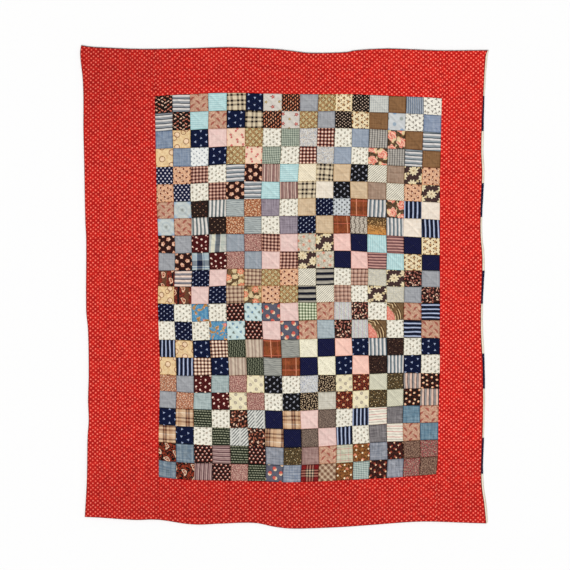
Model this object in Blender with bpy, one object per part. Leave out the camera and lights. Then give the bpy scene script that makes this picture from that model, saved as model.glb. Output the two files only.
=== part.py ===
"""Patchwork quilt, lying flat with its pieced face up.

A field of 16 by 22 square patches, four printed red border strips around it (the two side
strips run the full length, the top and bottom strips sit between them), and a pieced
backing under them all, whose right-hand margin is turned forward past the border as a
narrow rolled lip.  Units are metres, +X across the quilt, +Y along it, +Z up.
The origin is the middle of the quilt's own box, on the surface it lies on.
"""

import math

import bmesh
import bpy

# ---------------------------------------------------------------- driving dimensions
COLUMNS, ROWS = 16, 22            # patches across and down
LEFT_BORDER = 4.2                 # border widths, counted in patches
RIGHT_BORDER = 2.35
TOP_BORDER = 2.65
BOTTOM_BORDER = 2.6
HALF_WIDTH = 0.884                # nominal rectangle that the set-ins below are taken from
HALF_LENGTH = 1.0435

BACKING_THICK = 0.0012
GAP = 0.0003                      # clear space between neighbouring pieces
UNDER = BACKING_THICK + GAP       # underside of the quilted front
SEAM_TOP = 0.0037                 # top of the front where it is drawn down at a seam
PUFF = 0.0012                     # rise of a patch's middle over its seams
BORDER_TOP = 0.0044               # top of the border strips
BORDER_RIPPLE = 0.0005            # their unevenness
RIM_TOP = 0.0032                  # top of the turned outer edge
RIM_WIDTH = 0.012                 # how far the edge tapers in
BACKING_INSET = 0.002             # backing lies this far inside the turned edge
LIP_WIDTH = 0.0068                # backing turned forward past the right strip
LIP_TOP = 0.0036

MM = 0.001

# Patch columns, left to right: width in mm in the top row and in the bottom row.
COLUMN_WIDTHS = (
    # top, bottom
    (75, 76), (77, 78), (79, 78), (81, 76), (82, 76), (77, 73), (80, 78), (79, 78),
    (77, 78), (75, 78), (73, 73), (73, 73), (82, 78), (76, 69), (76, 69), (77, 71),
)
# Patch rows, top to bottom: height in mm in the left column and in the right column.
ROW_HEIGHTS = (
    # left, right
    (75, 75), (75, 75), (77, 82), (79, 73), (76, 78), (77, 73), (73, 77), (73, 79),
    (77, 73), (75, 70), (70, 71), (75, 68), (75, 73), (80, 76), (75, 73), (75, 79),
    (73, 68), (73, 73), (77, 73), (75, 75), (75, 70), (70, 73),
)

# Outer edges and field seams.  Each row is a station along the edge and how far the edge
# is set in from the nominal rectangle there, both in mm.
TOP_EDGE = (
    # x, set-in
    (-880, 0), (-841, 6), (-755, 11), (-668, 15), (-582, 16), (-409, 13), (-236, 8),
    (-107, 13), (-21, 18), (44, 26), (109, 33), (260, 30), (303, 22), (368, 17),
    (454, 14), (670, 22), (877, 21),
)
BOTTOM_EDGE = (
    # x, set-in
    (-864, 50), (-798, 47), (-647, 37), (-548, 38), (-431, 21), (-366, 17), (-280, 21),
    (-129, 24), (-42, 7), (22, 0), (87, 0), (238, 6), (368, 15), (541, 28), (627, 30),
    (800, 24), (869, 22),
)
LEFT_EDGE = (
    # y, set-in
    (1044, 4), (1006, 0), (898, 11), (807, 14), (678, 14), (548, 17), (289, 22),
    (203, 26), (-100, 26), (-190, 34), (-380, 37), (-488, 34), (-575, 37), (-648, 32),
    (-834, 29), (-993, 20),
)
RIGHT_EDGE = (
    # y, set-in (of the border strip; the backing's lip lies outside it)
    (1023, 7), (997, 16), (829, 26), (712, 32), (583, 35), (494, 31), (375, 36),
    (233, 38), (112, 30), (-156, 37), (-363, 28), (-575, 28), (-790, 35), (-868, 32),
    (-929, 23), (-1015, 14),
)
FIELD_TOP = (
    # x, set-in
    (-560, 220), (-486, 214), (-409, 211), (-332, 207), (-208, 205), (-90, 208),
    (143, 211), (294, 211), (450, 218), (601, 224), (678, 229),
)
FIELD_BOTTOM = (
    # x, set-in
    (-545, 224), (-470, 215), (-392, 210), (-90, 204), (-12, 200), (143, 204),
    (294, 211), (446, 219), (584, 229), (655, 235),
)
FIELD_LEFT = (
    # y, set-in
    (824, 323), (522, 328), (367, 331), (220, 337), (69, 339), (-78, 336), (-229, 341),
    (-380, 345), (-527, 342), (-678, 339), (-821, 340),
)
FIELD_RIGHT = (
    # y, set-in
    (816, 206), (583, 211), (432, 214), (-151, 214), (-380, 215), (-592, 221),
    (-738, 223), (-808, 230),
)


# ---------------------------------------------------------------- the plan
def mix(a, b, f):
    return a + (b - a) * f


def along(table, at):
    """Smooth curve through a station table, metres in and out; it is level past its ends."""
    rows = sorted((p * MM, v * MM) for p, v in table)
    if at <= rows[0][0]:
        return rows[0][1]
    if at >= rows[-1][0]:
        return rows[-1][1]
    k = max(i for i in range(len(rows) - 1) if rows[i][0] <= at)
    (p0, v0), (p1, v1) = rows[k], rows[k + 1]
    pa, va = rows[max(k - 1, 0)]
    pb, vb = rows[min(k + 2, len(rows) - 1)]
    m0, m1 = (v1 - va) / (p1 - pa), (vb - v0) / (pb - p0)
    h = p1 - p0
    f = (at - p0) / h
    return (
        (2 * f**3 - 3 * f**2 + 1) * v0 + (f**3 - 2 * f**2 + f) * h * m0
        + (3 * f**2 - 2 * f**3) * v1 + (f**3 - f**2) * h * m1
    )


def share(table, column, at):
    """How far across the table's sections the place `at` is, from 0 to 1."""
    widths = [row[column] for row in table]
    at = min(max(at, 0), len(widths))
    k = min(int(at), len(widths) - 1)
    return (sum(widths[:k]) + widths[k] * (at - k)) / sum(widths)


def across(s, t, y):
    if s < 0:
        return mix(along(FIELD_LEFT, y) - HALF_WIDTH, along(LEFT_EDGE, y) - HALF_WIDTH,
                   -s / LEFT_BORDER)
    if s > COLUMNS:
        return mix(HALF_WIDTH - along(FIELD_RIGHT, y), HALF_WIDTH - along(RIGHT_EDGE, y),
                   (s - COLUMNS) / RIGHT_BORDER)
    down_share = min(max(t / ROWS, 0), 1)
    f = mix(share(COLUMN_WIDTHS, 0, s), share(COLUMN_WIDTHS, 1, s), down_share)
    return mix(along(FIELD_LEFT, y) - HALF_WIDTH, HALF_WIDTH - along(FIELD_RIGHT, y), f)


def down(s, t, x):
    if t < 0:
        return mix(HALF_LENGTH - along(FIELD_TOP, x), HALF_LENGTH - along(TOP_EDGE, x),
                   -t / TOP_BORDER)
    if t > ROWS:
        return mix(along(FIELD_BOTTOM, x) - HALF_LENGTH, along(BOTTOM_EDGE, x) - HALF_LENGTH,
                   (t - ROWS) / BOTTOM_BORDER)
    across_share = min(max(s / COLUMNS, 0), 1)
    f = mix(share(ROW_HEIGHTS, 0, t), share(ROW_HEIGHTS, 1, t), across_share)
    return mix(HALF_LENGTH - along(FIELD_TOP, x), along(FIELD_BOTTOM, x) - HALF_LENGTH, f)


def plan(s, t):
    """Where the quilt's grid place (s patches across, t patches down) lies."""
    y = mix(0.82, -0.82, t / ROWS)
    x = 0.0
    for _ in range(5):
        x = across(s, t, y)
        y = down(s, t, x)
    return x, y


def ripple(x, y):
    return 0.6 * math.sin(9.1 * x + 4.3 * y + 0.7) + 0.4 * math.sin(-6.2 * x + 11.7 * y + 2.1)


# ---------------------------------------------------------------- solids
def steps(first, last, count):
    return [mix(first, last, k / count) for k in range(count + 1)]


def nudged(stations, first=0.0, last=0.0):
    """Stations paired with a shift in metres; only the first and last are shifted."""
    shifts = [first] + [0.0] * (len(stations) - 2) + [last]
    return list(zip(stations, shifts))


def slab(name, columns, rows, top, material):
    """A thin closed sheet on the grid columns x rows.  Its underside is flat and its upper
    side follows top(column number, row number, x, y), which gives (underside, upper side)."""
    nx, ny = len(columns) - 1, len(rows) - 1
    bm = bmesh.new()
    bmesh.ops.create_grid(bm, x_segments=nx, y_segments=ny, size=0.5)
    lower = bm.faces[:]
    spots = {v: (round((v.co.x + 0.5) * nx), round((0.5 - v.co.y) * ny)) for v in bm.verts}
    made = bmesh.ops.extrude_face_region(bm, geom=lower)
    upper = [v for v in made["geom"] if isinstance(v, bmesh.types.BMVert)]
    spots.update(
        {v: (round((v.co.x + 0.5) * nx), round((0.5 - v.co.y) * ny)) for v in upper}
    )
    raised = set(upper)
    for v, (i, j) in spots.items():
        (s, dx), (t, dy) = columns[i], rows[j]
        x, y = plan(s, t)
        x, y = x + dx, y + dy
        low, high = top(i, j, x, y)
        v.co = (x, y, high if v in raised else low)
    bottom = [f for f in bm.faces if not any(v in raised for v in f.verts)]
    bmesh.ops.dissolve_faces(bm, faces=bottom)
    bmesh.ops.recalc_face_normals(bm, faces=bm.faces)
    bmesh.ops.triangulate(bm, faces=bm.faces, quad_method="BEAUTY", ngon_method="BEAUTY")
    mesh = bpy.data.meshes.new(name)
    bm.to_mesh(mesh)
    bm.free()
    mesh.materials.append(material)
    mesh.shade_smooth()
    mesh.set_sharp_from_angle(angle=math.radians(40))
    obj = bpy.data.objects.new(name, mesh)
    quilt.objects.link(obj)
    return obj


def cloth(name, colour, roughness):
    m = bpy.data.materials.new(name)
    m.use_nodes = True
    shader = m.node_tree.nodes["Principled BSDF"]
    shader.inputs["Base Color"].default_value = (*colour, 1.0)
    shader.inputs["Roughness"].default_value = roughness
    shader.inputs["Metallic"].default_value = 0.0
    return m


def field_heights(i, j, x, y):
    puffed = PUFF if i % 2 and j % 2 else 0.0
    return UNDER, SEAM_TOP + puffed + 0.0002 * ripple(x, y)


def border_heights(outer_columns, outer_rows):
    """Heights of a strip whose listed grid lines are the quilt's outer edge."""
    def heights(i, j, x, y):
        if i in outer_columns or j in outer_rows:
            return UNDER, RIM_TOP + 0.0002 * ripple(x, y)
        return UNDER, BORDER_TOP + BORDER_RIPPLE * ripple(x, y)
    return heights


def backing_heights(i, j, x, y):
    """The last four grid lines stand beside the right strip: the flat sheet ends there, then
    its margin turns up, over and down again as the lip."""
    beside = len(backing_columns) - 4
    rise = {beside + 1: LIP_TOP - 0.0004, beside + 2: LIP_TOP, beside + 3: 0.0016}
    return 0.0, rise.get(i, BACKING_THICK)


for old in list(bpy.data.objects):
    bpy.data.objects.remove(old)

quilt = bpy.data.collections.new("patchwork_quilt")
bpy.context.scene.collection.children.link(quilt)

half = GAP / 2
left, right = -LEFT_BORDER, COLUMNS + RIGHT_BORDER
head, foot = -TOP_BORDER, ROWS + BOTTOM_BORDER
rim = RIM_WIDTH / 0.0762                                   # the edge taper, in patches

field_columns = steps(0, COLUMNS, 2 * COLUMNS)
field_rows = steps(0, ROWS, 2 * ROWS)
side_rows = (
    [head, head + rim, head / 2] + field_rows + [mix(ROWS, foot, 0.5), foot - rim, foot]
)
left_columns = [left, left + rim, left * 0.62, left * 0.3, 0]
right_columns = [COLUMNS, mix(COLUMNS, right, 0.5), right - rim, right]
head_rows = [head, head + rim, head / 2, 0]
foot_rows = [ROWS, mix(ROWS, foot, 0.5), foot - rim, foot]

slab("patchwork_field",
     nudged(field_columns, half, -half), nudged(field_rows, -half, half),
     field_heights, cloth("field_cotton", (0.42, 0.36, 0.32), 0.9))
slab("border_left",
     nudged(left_columns, 0, -half), nudged(side_rows),
     border_heights({0}, {0, len(side_rows) - 1}),
     cloth("border_left_cotton", (0.55, 0.03, 0.025), 0.88))
slab("border_right",
     nudged(right_columns, half, -half), nudged(side_rows),
     border_heights({len(right_columns) - 1}, {0, len(side_rows) - 1}),
     cloth("border_right_cotton", (0.55, 0.03, 0.025), 0.88))
slab("border_top",
     nudged(field_columns, half, -half), nudged(head_rows, 0, half),
     border_heights(set(), {0}), cloth("border_top_cotton", (0.55, 0.03, 0.025), 0.88))
slab("border_bottom",
     nudged(field_columns, half, -half), nudged(foot_rows, -half, 0),
     border_heights(set(), {len(foot_rows) - 1}),
     cloth("border_bottom_cotton", (0.55, 0.03, 0.025), 0.88))

backing_columns = nudged([left, left / 2] + steps(0, COLUMNS, 8) + [mix(COLUMNS, right, 0.5)],
                         BACKING_INSET)
backing_columns += [(right, half), (right, half + 0.00008), (right, LIP_WIDTH * 0.55),
                    (right, LIP_WIDTH)]
slab("backing", backing_columns, nudged(side_rows, -BACKING_INSET, BACKING_INSET),
     backing_heights, cloth("backing_cotton", (0.72, 0.66, 0.52), 0.9))

# The nominal rectangle is only close to the finished box, so the whole quilt is moved to
# put the middle of its box on the origin.
sheets = list(quilt.objects)
xs = [v.co.x for o in sheets for v in o.data.vertices]
ys = [v.co.y for o in sheets for v in o.data.vertices]
middle = ((min(xs) + max(xs)) / 2, (min(ys) + max(ys)) / 2)
for o in sheets:
    for v in o.data.vertices:
        v.co.x -= middle[0]
        v.co.y -= middle[1]
    o.data.update()
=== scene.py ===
"""Looks of the patchwork quilt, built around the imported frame.

The quilt front is 88 four-patch blocks and four printed border strips, laid on a pieced
backing whose right-hand margin is turned forward as a narrow lip.  Every sheet is a thin
closed mesh with quilted relief; every fabric is a procedural material drawn in the cloth's
own millimetres, through a map that gives each patch its own cut of the cloth.
"""
import math

import bpy
import numpy as np
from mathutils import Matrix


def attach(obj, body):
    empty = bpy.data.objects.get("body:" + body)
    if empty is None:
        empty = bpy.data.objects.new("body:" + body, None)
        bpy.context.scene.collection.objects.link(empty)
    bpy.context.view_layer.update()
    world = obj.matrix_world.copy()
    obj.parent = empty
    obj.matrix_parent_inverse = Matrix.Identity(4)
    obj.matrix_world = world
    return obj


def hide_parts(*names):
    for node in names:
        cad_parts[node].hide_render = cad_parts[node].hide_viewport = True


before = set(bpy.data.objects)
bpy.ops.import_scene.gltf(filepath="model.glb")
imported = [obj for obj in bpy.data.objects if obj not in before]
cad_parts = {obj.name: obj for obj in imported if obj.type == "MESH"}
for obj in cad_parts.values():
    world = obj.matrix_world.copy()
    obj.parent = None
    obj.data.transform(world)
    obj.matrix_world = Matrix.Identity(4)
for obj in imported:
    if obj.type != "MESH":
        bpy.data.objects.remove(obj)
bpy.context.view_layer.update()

MM = 0.001
PATCH = 76.2                       # nominal patch, mm

# ---------------------------------------------------------------- plan, as in part.py
COLUMNS, ROWS = 16, 22
LEFT_BORDER, RIGHT_BORDER, TOP_BORDER, BOTTOM_BORDER = 4.2, 2.35, 2.65, 2.6
HALF_WIDTH, HALF_LENGTH = 0.884, 1.0435
MIDDLE = (0.000859, -0.000249)
HEAD, FOOT, LEFT, RIGHT = -TOP_BORDER, ROWS + BOTTOM_BORDER, -LEFT_BORDER, COLUMNS + RIGHT_BORDER

COLUMN_WIDTHS = (
    (75, 76), (77, 78), (79, 78), (81, 76), (82, 76), (77, 73), (80, 78), (79, 78),
    (77, 78), (75, 78), (73, 73), (73, 73), (82, 78), (76, 69), (76, 69), (77, 71),
)
ROW_HEIGHTS = (
    (75, 75), (75, 75), (77, 82), (79, 73), (76, 78), (77, 73), (73, 77), (73, 79),
    (77, 73), (75, 70), (70, 71), (75, 68), (75, 73), (80, 76), (75, 73), (75, 79),
    (73, 68), (73, 73), (77, 73), (75, 75), (75, 70), (70, 73),
)
TOP_EDGE = (
    (-880, 0), (-841, 6), (-755, 11), (-668, 15), (-582, 16), (-409, 13), (-236, 8),
    (-107, 13), (-21, 18), (44, 26), (109, 33), (260, 30), (303, 22), (368, 17),
    (454, 14), (670, 22), (877, 21),
)
BOTTOM_EDGE = (
    (-864, 50), (-798, 47), (-647, 37), (-548, 38), (-431, 21), (-366, 17), (-280, 21),
    (-129, 24), (-42, 7), (22, 0), (87, 0), (238, 6), (368, 15), (541, 28), (627, 30),
    (800, 24), (869, 22),
)
LEFT_EDGE = (
    (1044, 4), (1006, 0), (898, 11), (807, 14), (678, 14), (548, 17), (289, 22),
    (203, 26), (-100, 26), (-190, 34), (-380, 37), (-488, 34), (-575, 37), (-648, 32),
    (-834, 29), (-993, 20),
)
RIGHT_EDGE = (
    (1023, 7), (997, 16), (829, 26), (712, 32), (583, 35), (494, 31), (375, 36),
    (233, 38), (112, 30), (-156, 37), (-363, 28), (-575, 28), (-790, 35), (-868, 32),
    (-929, 23), (-1015, 14),
)
FIELD_TOP = (
    (-560, 220), (-486, 214), (-409, 211), (-332, 207), (-208, 205), (-90, 208),
    (143, 211), (294, 211), (450, 218), (601, 224), (678, 229),
)
FIELD_BOTTOM = (
    (-545, 224), (-470, 215), (-392, 210), (-90, 204), (-12, 200), (143, 204),
    (294, 211), (446, 219), (584, 229), (655, 235),
)
FIELD_LEFT = (
    (824, 323), (522, 328), (367, 331), (220, 337), (69, 339), (-78, 336), (-229, 341),
    (-380, 345), (-527, 342), (-678, 339), (-821, 340),
)
FIELD_RIGHT = (
    (816, 206), (583, 211), (432, 214), (-151, 214), (-380, 215), (-592, 221),
    (-738, 223), (-808, 230),
)

# The patches were never all one size, so the seams bow off the even plan that the CAD
# outline uses.  Each row is one soft bow: the patch it is centred on, how many patches it
# spreads over, and how far it carries the seams to the right and up.
BOWS = (
    # across, down, wide, tall, right mm, up mm
    (9.5, 8.0, 4.0, 4.0, -14, 20),      # the middle lies high and to the left
    (9.5, 15.5, 4.5, 3.5, -8, 9),       # and less so further down
    (3.0, 14.0, 2.5, 5.0, -7, 1),       # left columns lean out
    (14.0, 16.5, 1.6, 3.5, -7, 3),      # so do the last ones on the right
    (5.0, 8.0, 1.8, 4.0, -5, 1),
    (6.0, 20.5, 2.5, 2.0, 8, -2),       # foot of the middle columns leans back
    (2.0, 4.0, 2.5, 2.5, 1, -5),        # head of the left columns sags
    (1.0, 19.5, 3.0, 1.5, 1, 6),
    (13.5, 19.5, 2.5, 2.0, -4, 7),
)
BY_HAND = 1.6                           # mm that a crossing of seams may miss its place by


def mix(a, b, f):
    return a + (b - a) * f


def along(table, at):
    """The smooth curve through a station table that part.py uses, for arrays."""
    rows = np.array(sorted(table), float) * MM
    p, v = rows[:, 0], rows[:, 1]
    at = np.clip(at, p[0], p[-1])
    k = np.clip(np.searchsorted(p, at, side="right") - 1, 0, len(p) - 2)
    ka, kb = np.maximum(k - 1, 0), np.minimum(k + 2, len(p) - 1)
    p0, p1, v0, v1 = p[k], p[k + 1], v[k], v[k + 1]
    m0, m1 = (v1 - v[ka]) / (p1 - p[ka]), (v[kb] - v0) / (p[kb] - p0)
    h = p1 - p0
    f = (at - p0) / h
    return (
        (2 * f**3 - 3 * f**2 + 1) * v0 + (f**3 - 2 * f**2 + f) * h * m0
        + (3 * f**2 - 2 * f**3) * v1 + (f**3 - f**2) * h * m1
    )


def share(table, column, at):
    widths = np.array([row[column] for row in table], float)
    sums = np.concatenate([[0], np.cumsum(widths)]) / widths.sum()
    return np.interp(at, np.arange(len(sums)), sums)


def across(s, t, y):
    near, far = along(FIELD_LEFT, y) - HALF_WIDTH, HALF_WIDTH - along(FIELD_RIGHT, y)
    inside = mix(near, far, mix(share(COLUMN_WIDTHS, 0, s), share(COLUMN_WIDTHS, 1, s),
                                np.clip(t / ROWS, 0, 1)))
    left = mix(near, along(LEFT_EDGE, y) - HALF_WIDTH, -s / LEFT_BORDER)
    right = mix(far, HALF_WIDTH - along(RIGHT_EDGE, y), (s - COLUMNS) / RIGHT_BORDER)
    return np.where(s < 0, left, np.where(s > COLUMNS, right, inside))


def down(s, t, x):
    near, far = HALF_LENGTH - along(FIELD_TOP, x), along(FIELD_BOTTOM, x) - HALF_LENGTH
    inside = mix(near, far, mix(share(ROW_HEIGHTS, 0, t), share(ROW_HEIGHTS, 1, t),
                                np.clip(s / COLUMNS, 0, 1)))
    head = mix(near, HALF_LENGTH - along(TOP_EDGE, x), -t / TOP_BORDER)
    foot = mix(far, along(BOTTOM_EDGE, x) - HALF_LENGTH, (t - ROWS) / BOTTOM_BORDER)
    return np.where(t < 0, head, np.where(t > ROWS, foot, inside))


def crossings():
    """How far each crossing of seams lies off the even plan, in metres to the right and up:
    none across the field's own edges, which stay where the CAD is."""
    if not CROSSINGS:
        down_, across_ = np.mgrid[0:ROWS + 1, 0:COLUMNS + 1]
        right, up = np.zeros(across_.shape), np.zeros(across_.shape)
        for s0, t0, wide, tall, mm_right, mm_up in BOWS:
            share_ = np.exp(-((across_ - s0) / wide) ** 2 / 2 - ((down_ - t0) / tall) ** 2 / 2)
            right, up = right + mm_right * share_, up + mm_up * share_
        right = right + BY_HAND * 2 * (dice(across_, down_, 301) - 0.5)
        up = up + BY_HAND * 2 * (dice(across_, down_, 302) - 0.5)
        for value, place, last in ((right, across_, COLUMNS), (up, down_, ROWS)):
            edge = np.minimum(place, last - place)
            value *= 1 - np.exp(-edge / 0.7)
        CROSSINGS.extend((right * MM, up * MM))
    return CROSSINGS


CROSSINGS = []


def drift(s, t):
    """Metres right and up that a grid place lies off the even plan, read between crossings."""
    a, b = np.clip(s, 0, COLUMNS), np.clip(t, 0, ROWS)
    i, j = np.minimum(a.astype(int), COLUMNS - 1), np.minimum(b.astype(int), ROWS - 1)
    f, g = a - i, b - j
    beyond = np.maximum(np.maximum(-s, s - COLUMNS), np.maximum(-t, t - ROWS))
    fade = np.clip(1 - beyond / 1.5, 0, 1)
    return [fade * mix(mix(v[j, i], v[j, i + 1], f), mix(v[j + 1, i], v[j + 1, i + 1], f), g)
            for v in crossings()]


def plan(s, t):
    """World x and y of a grid place: s patches across the field, t patches down it."""
    s, t = np.broadcast_arrays(np.asarray(s, float), np.asarray(t, float))
    y = mix(0.82, -0.82, t / ROWS)
    x = np.zeros_like(y)
    for _ in range(5):
        x = across(s, t, y)
        y = down(s, t, x)
    right, up = drift(s, t)
    return x + right - MIDDLE[0], y + up - MIDDLE[1]


# ---------------------------------------------------------------- relief
def dice(i, j, seed):
    """Repeatable numbers from 0 to 1 for whole i and j."""
    h = (i.astype(np.int64) * 374761393 + j.astype(np.int64) * 668265263
         + seed * 2147483647) & 0xFFFFFFFF
    h = ((h ^ (h >> 13)) * 1274126177) & 0xFFFFFFFF
    h = ((h ^ (h >> 16)) * 2246822519) & 0xFFFFFFFF
    return ((h ^ (h >> 15)) & 0xFFFFFF) / 0xFFFFFF


def noise(x, y, seed):
    """Smooth value noise from 0 to 1, one cell to a unit."""
    i, j = np.floor(x), np.floor(y)
    fx, fy = x - i, y - j
    fx, fy = fx * fx * fx * (fx * (fx * 6 - 15) + 10), fy * fy * fy * (fy * (fy * 6 - 15) + 10)
    i, j = i.astype(np.int64), j.astype(np.int64)
    return mix(mix(dice(i, j, seed), dice(i + 1, j, seed), fx),
               mix(dice(i, j + 1, seed), dice(i + 1, j + 1, seed), fx), fy)


def wave(x, y):
    """How far the whole quilt stands off the floor, in metres: mostly nothing, with a few
    long low swells where it doesn't lie quite flat."""
    n = (0.62 * noise(x / 0.40 + 5.3, y / 0.46 + 2.1, 11)
         + 0.38 * noise(x / 0.21 + 1.7, y / 0.24 + 8.4, 12))
    return 0.0034 * np.clip((n - 0.40) / 0.45, 0, 1) ** 1.6


def gap_to(q, pitch):
    """Distance from q to the nearest multiple of pitch."""
    return np.abs(q - np.round(q / pitch) * pitch)


def edge_distance(s, t):
    """Millimetres to the quilt's outer edge."""
    return PATCH * np.minimum(np.minimum(s - LEFT, RIGHT - s), np.minimum(t - HEAD, FOOT - t))


def sewn_cloth(name, cols, rows, lines, seed):
    """Cloth simulation of a quilted panel, cols by rows patches: cloth cut a little too large
    for the lines it is stitched down along, so it puffs and puckers between them.  Returns
    its height in mm on a grid of 12 steps to a patch.  The panel itself isn't kept."""
    nx, ny = cols * 12 + 1, rows * 12 + 1
    i, j = np.meshgrid(np.arange(nx), np.arange(ny))
    X, Y = i / 12 * PATCH, j / 12 * PATCH
    held = lines(i, j)
    z = np.where(held, 0, 0.6 * noise(X / 16, Y / 16, seed) + 0.2 * noise(X / 7, Y / 7, seed + 1))
    number = np.arange(nx * ny).reshape(ny, nx)
    a, b, d, c = number[:-1, :-1], number[:-1, 1:], number[1:, :-1], number[1:, 1:]
    lean = ((i + j)[:-1, :-1] % 2 == 0)[..., None]          # split both ways in turn
    one = np.where(lean, np.stack([a, b, c], -1), np.stack([a, b, d], -1))
    two = np.where(lean, np.stack([a, c, d], -1), np.stack([b, c, d], -1))
    mesh = bpy.data.meshes.new(name)
    mesh.from_pydata((np.stack([X, Y, z], -1).reshape(-1, 3) * MM).tolist(), [],
                     np.concatenate([one.reshape(-1, 3), two.reshape(-1, 3)]).tolist())
    panel = bpy.data.objects.new(name, mesh)
    bpy.context.scene.collection.objects.link(panel)
    sewn = panel.vertex_groups.new(name="stitched")
    sewn.add(np.flatnonzero(held.ravel()).tolist(), 1.0, "REPLACE")
    modifier = panel.modifiers.new("cloth", "CLOTH")
    look = modifier.settings
    look.quality, look.mass, look.air_damping = 6, 0.15, 4
    look.tension_stiffness = look.compression_stiffness = 18
    look.shear_stiffness, look.bending_stiffness = 6, 9
    look.tension_damping = look.compression_damping = 8
    look.shear_damping, look.bending_damping = 6, 0.5
    look.vertex_group_mass = "stitched"
    look.shrink_min = -0.03
    look.use_pressure, look.uniform_pressure_force = True, 3.0
    look.effector_weights.gravity = 0
    modifier.collision_settings.use_collision = False
    modifier.point_cache.frame_start, modifier.point_cache.frame_end = 1, 16
    for k in range(1, 17):
        bpy.context.scene.frame_set(k)
    after = panel.evaluated_get(bpy.context.evaluated_depsgraph_get())
    shape = after.to_mesh()
    co = np.empty(len(shape.vertices) * 3)
    shape.vertices.foreach_get("co", co)
    after.to_mesh_clear()
    bpy.data.objects.remove(panel)
    bpy.data.meshes.remove(mesh)
    bpy.context.scene.frame_set(1)
    height = co.reshape(ny, nx, 3)[..., 2] / MM
    print("cloth", name, "height mm", round(float(height.min()), 2), round(float(height.max()), 2))
    return 2.6 * np.tanh(height / 2.6)


def read_panel(panel, s, t):
    """A simulated panel's height at grid places, the panel laid edge to edge in mirror image.
    Smooth: a cubic through the four nearest rows and columns."""
    ny, nx = panel.shape
    u, v = np.abs(s) * 12 % (2 * (nx - 1)), np.abs(t) * 12 % (2 * (ny - 1))
    u, v = np.where(u > nx - 1, 2 * (nx - 1) - u, u), np.where(v > ny - 1, 2 * (ny - 1) - v, v)
    i, j = np.minimum(u.astype(int), nx - 2), np.minimum(v.astype(int), ny - 2)
    f, g = u - i, v - j

    def shares(f):
        return (-0.5 * f + f**2 - 0.5 * f**3, 1 - 2.5 * f**2 + 1.5 * f**3,
                0.5 * f + 2 * f**2 - 1.5 * f**3, -0.5 * f**2 + 0.5 * f**3)

    wide, tall = shares(f), shares(g)
    total = 0
    for b in range(4):
        row = np.clip(j + b - 1, 0, ny - 1)
        total = total + tall[b] * sum(wide[a] * panel[row, np.clip(i + a - 1, 0, nx - 1)] for a in range(4))
    return total


FIELD_PANEL = sewn_cloth("field_panel", 8, 11, lambda i, j: ((i + j) % 12 == 0) | ((i - j) % 12 == 0), 5)
BORDER_PANEL = sewn_cloth("border_panel", 4, 8, lambda i, j: (i + j) % 6 == 0, 8)

BASE = 3.7                          # mm, the front where it is drawn down at a seam
CREASES = (
    # x, y, angle, length, rise: soft folds left from storage, metres, degrees, metres, mm
    (0.60, 0.030, 52, 0.070, 0.55), (0.585, -0.040, 38, 0.10, 0.45),
    (0.480, -0.770, -42, 0.050, 1.5), (0.486, -0.776, -14, 0.052, 1.4), (0.482, -0.772, 16, 0.05, 1.3),
    (0.478, -0.768, 52, 0.045, 1.3), (0.490, -0.792, -60, 0.040, 1.4), (-0.27, 0.52, 65, 0.08, 0.4),
    (0.02, 0.41, 120, 0.09, 0.35), (-0.46, -0.31, 8, 0.09, 0.4),
    (0.33, -0.55, 96, 0.08, 0.35), (-0.12, -0.76, 70, 0.07, 0.5),
    (0.18, 0.10, 140, 0.10, 0.3), (-0.40, 0.16, 30, 0.07, 0.35),
    (-0.72, 0.35, 84, 0.26, 0.5), (-0.69, -0.52, 97, 0.22, 0.45),
    (0.75, 0.22, 82, 0.20, 0.45), (0.10, 0.93, 5, 0.18, 0.4),
    (-0.30, -0.93, 172, 0.20, 0.45), (0.48, -0.90, 20, 0.14, 0.5),
)


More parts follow.
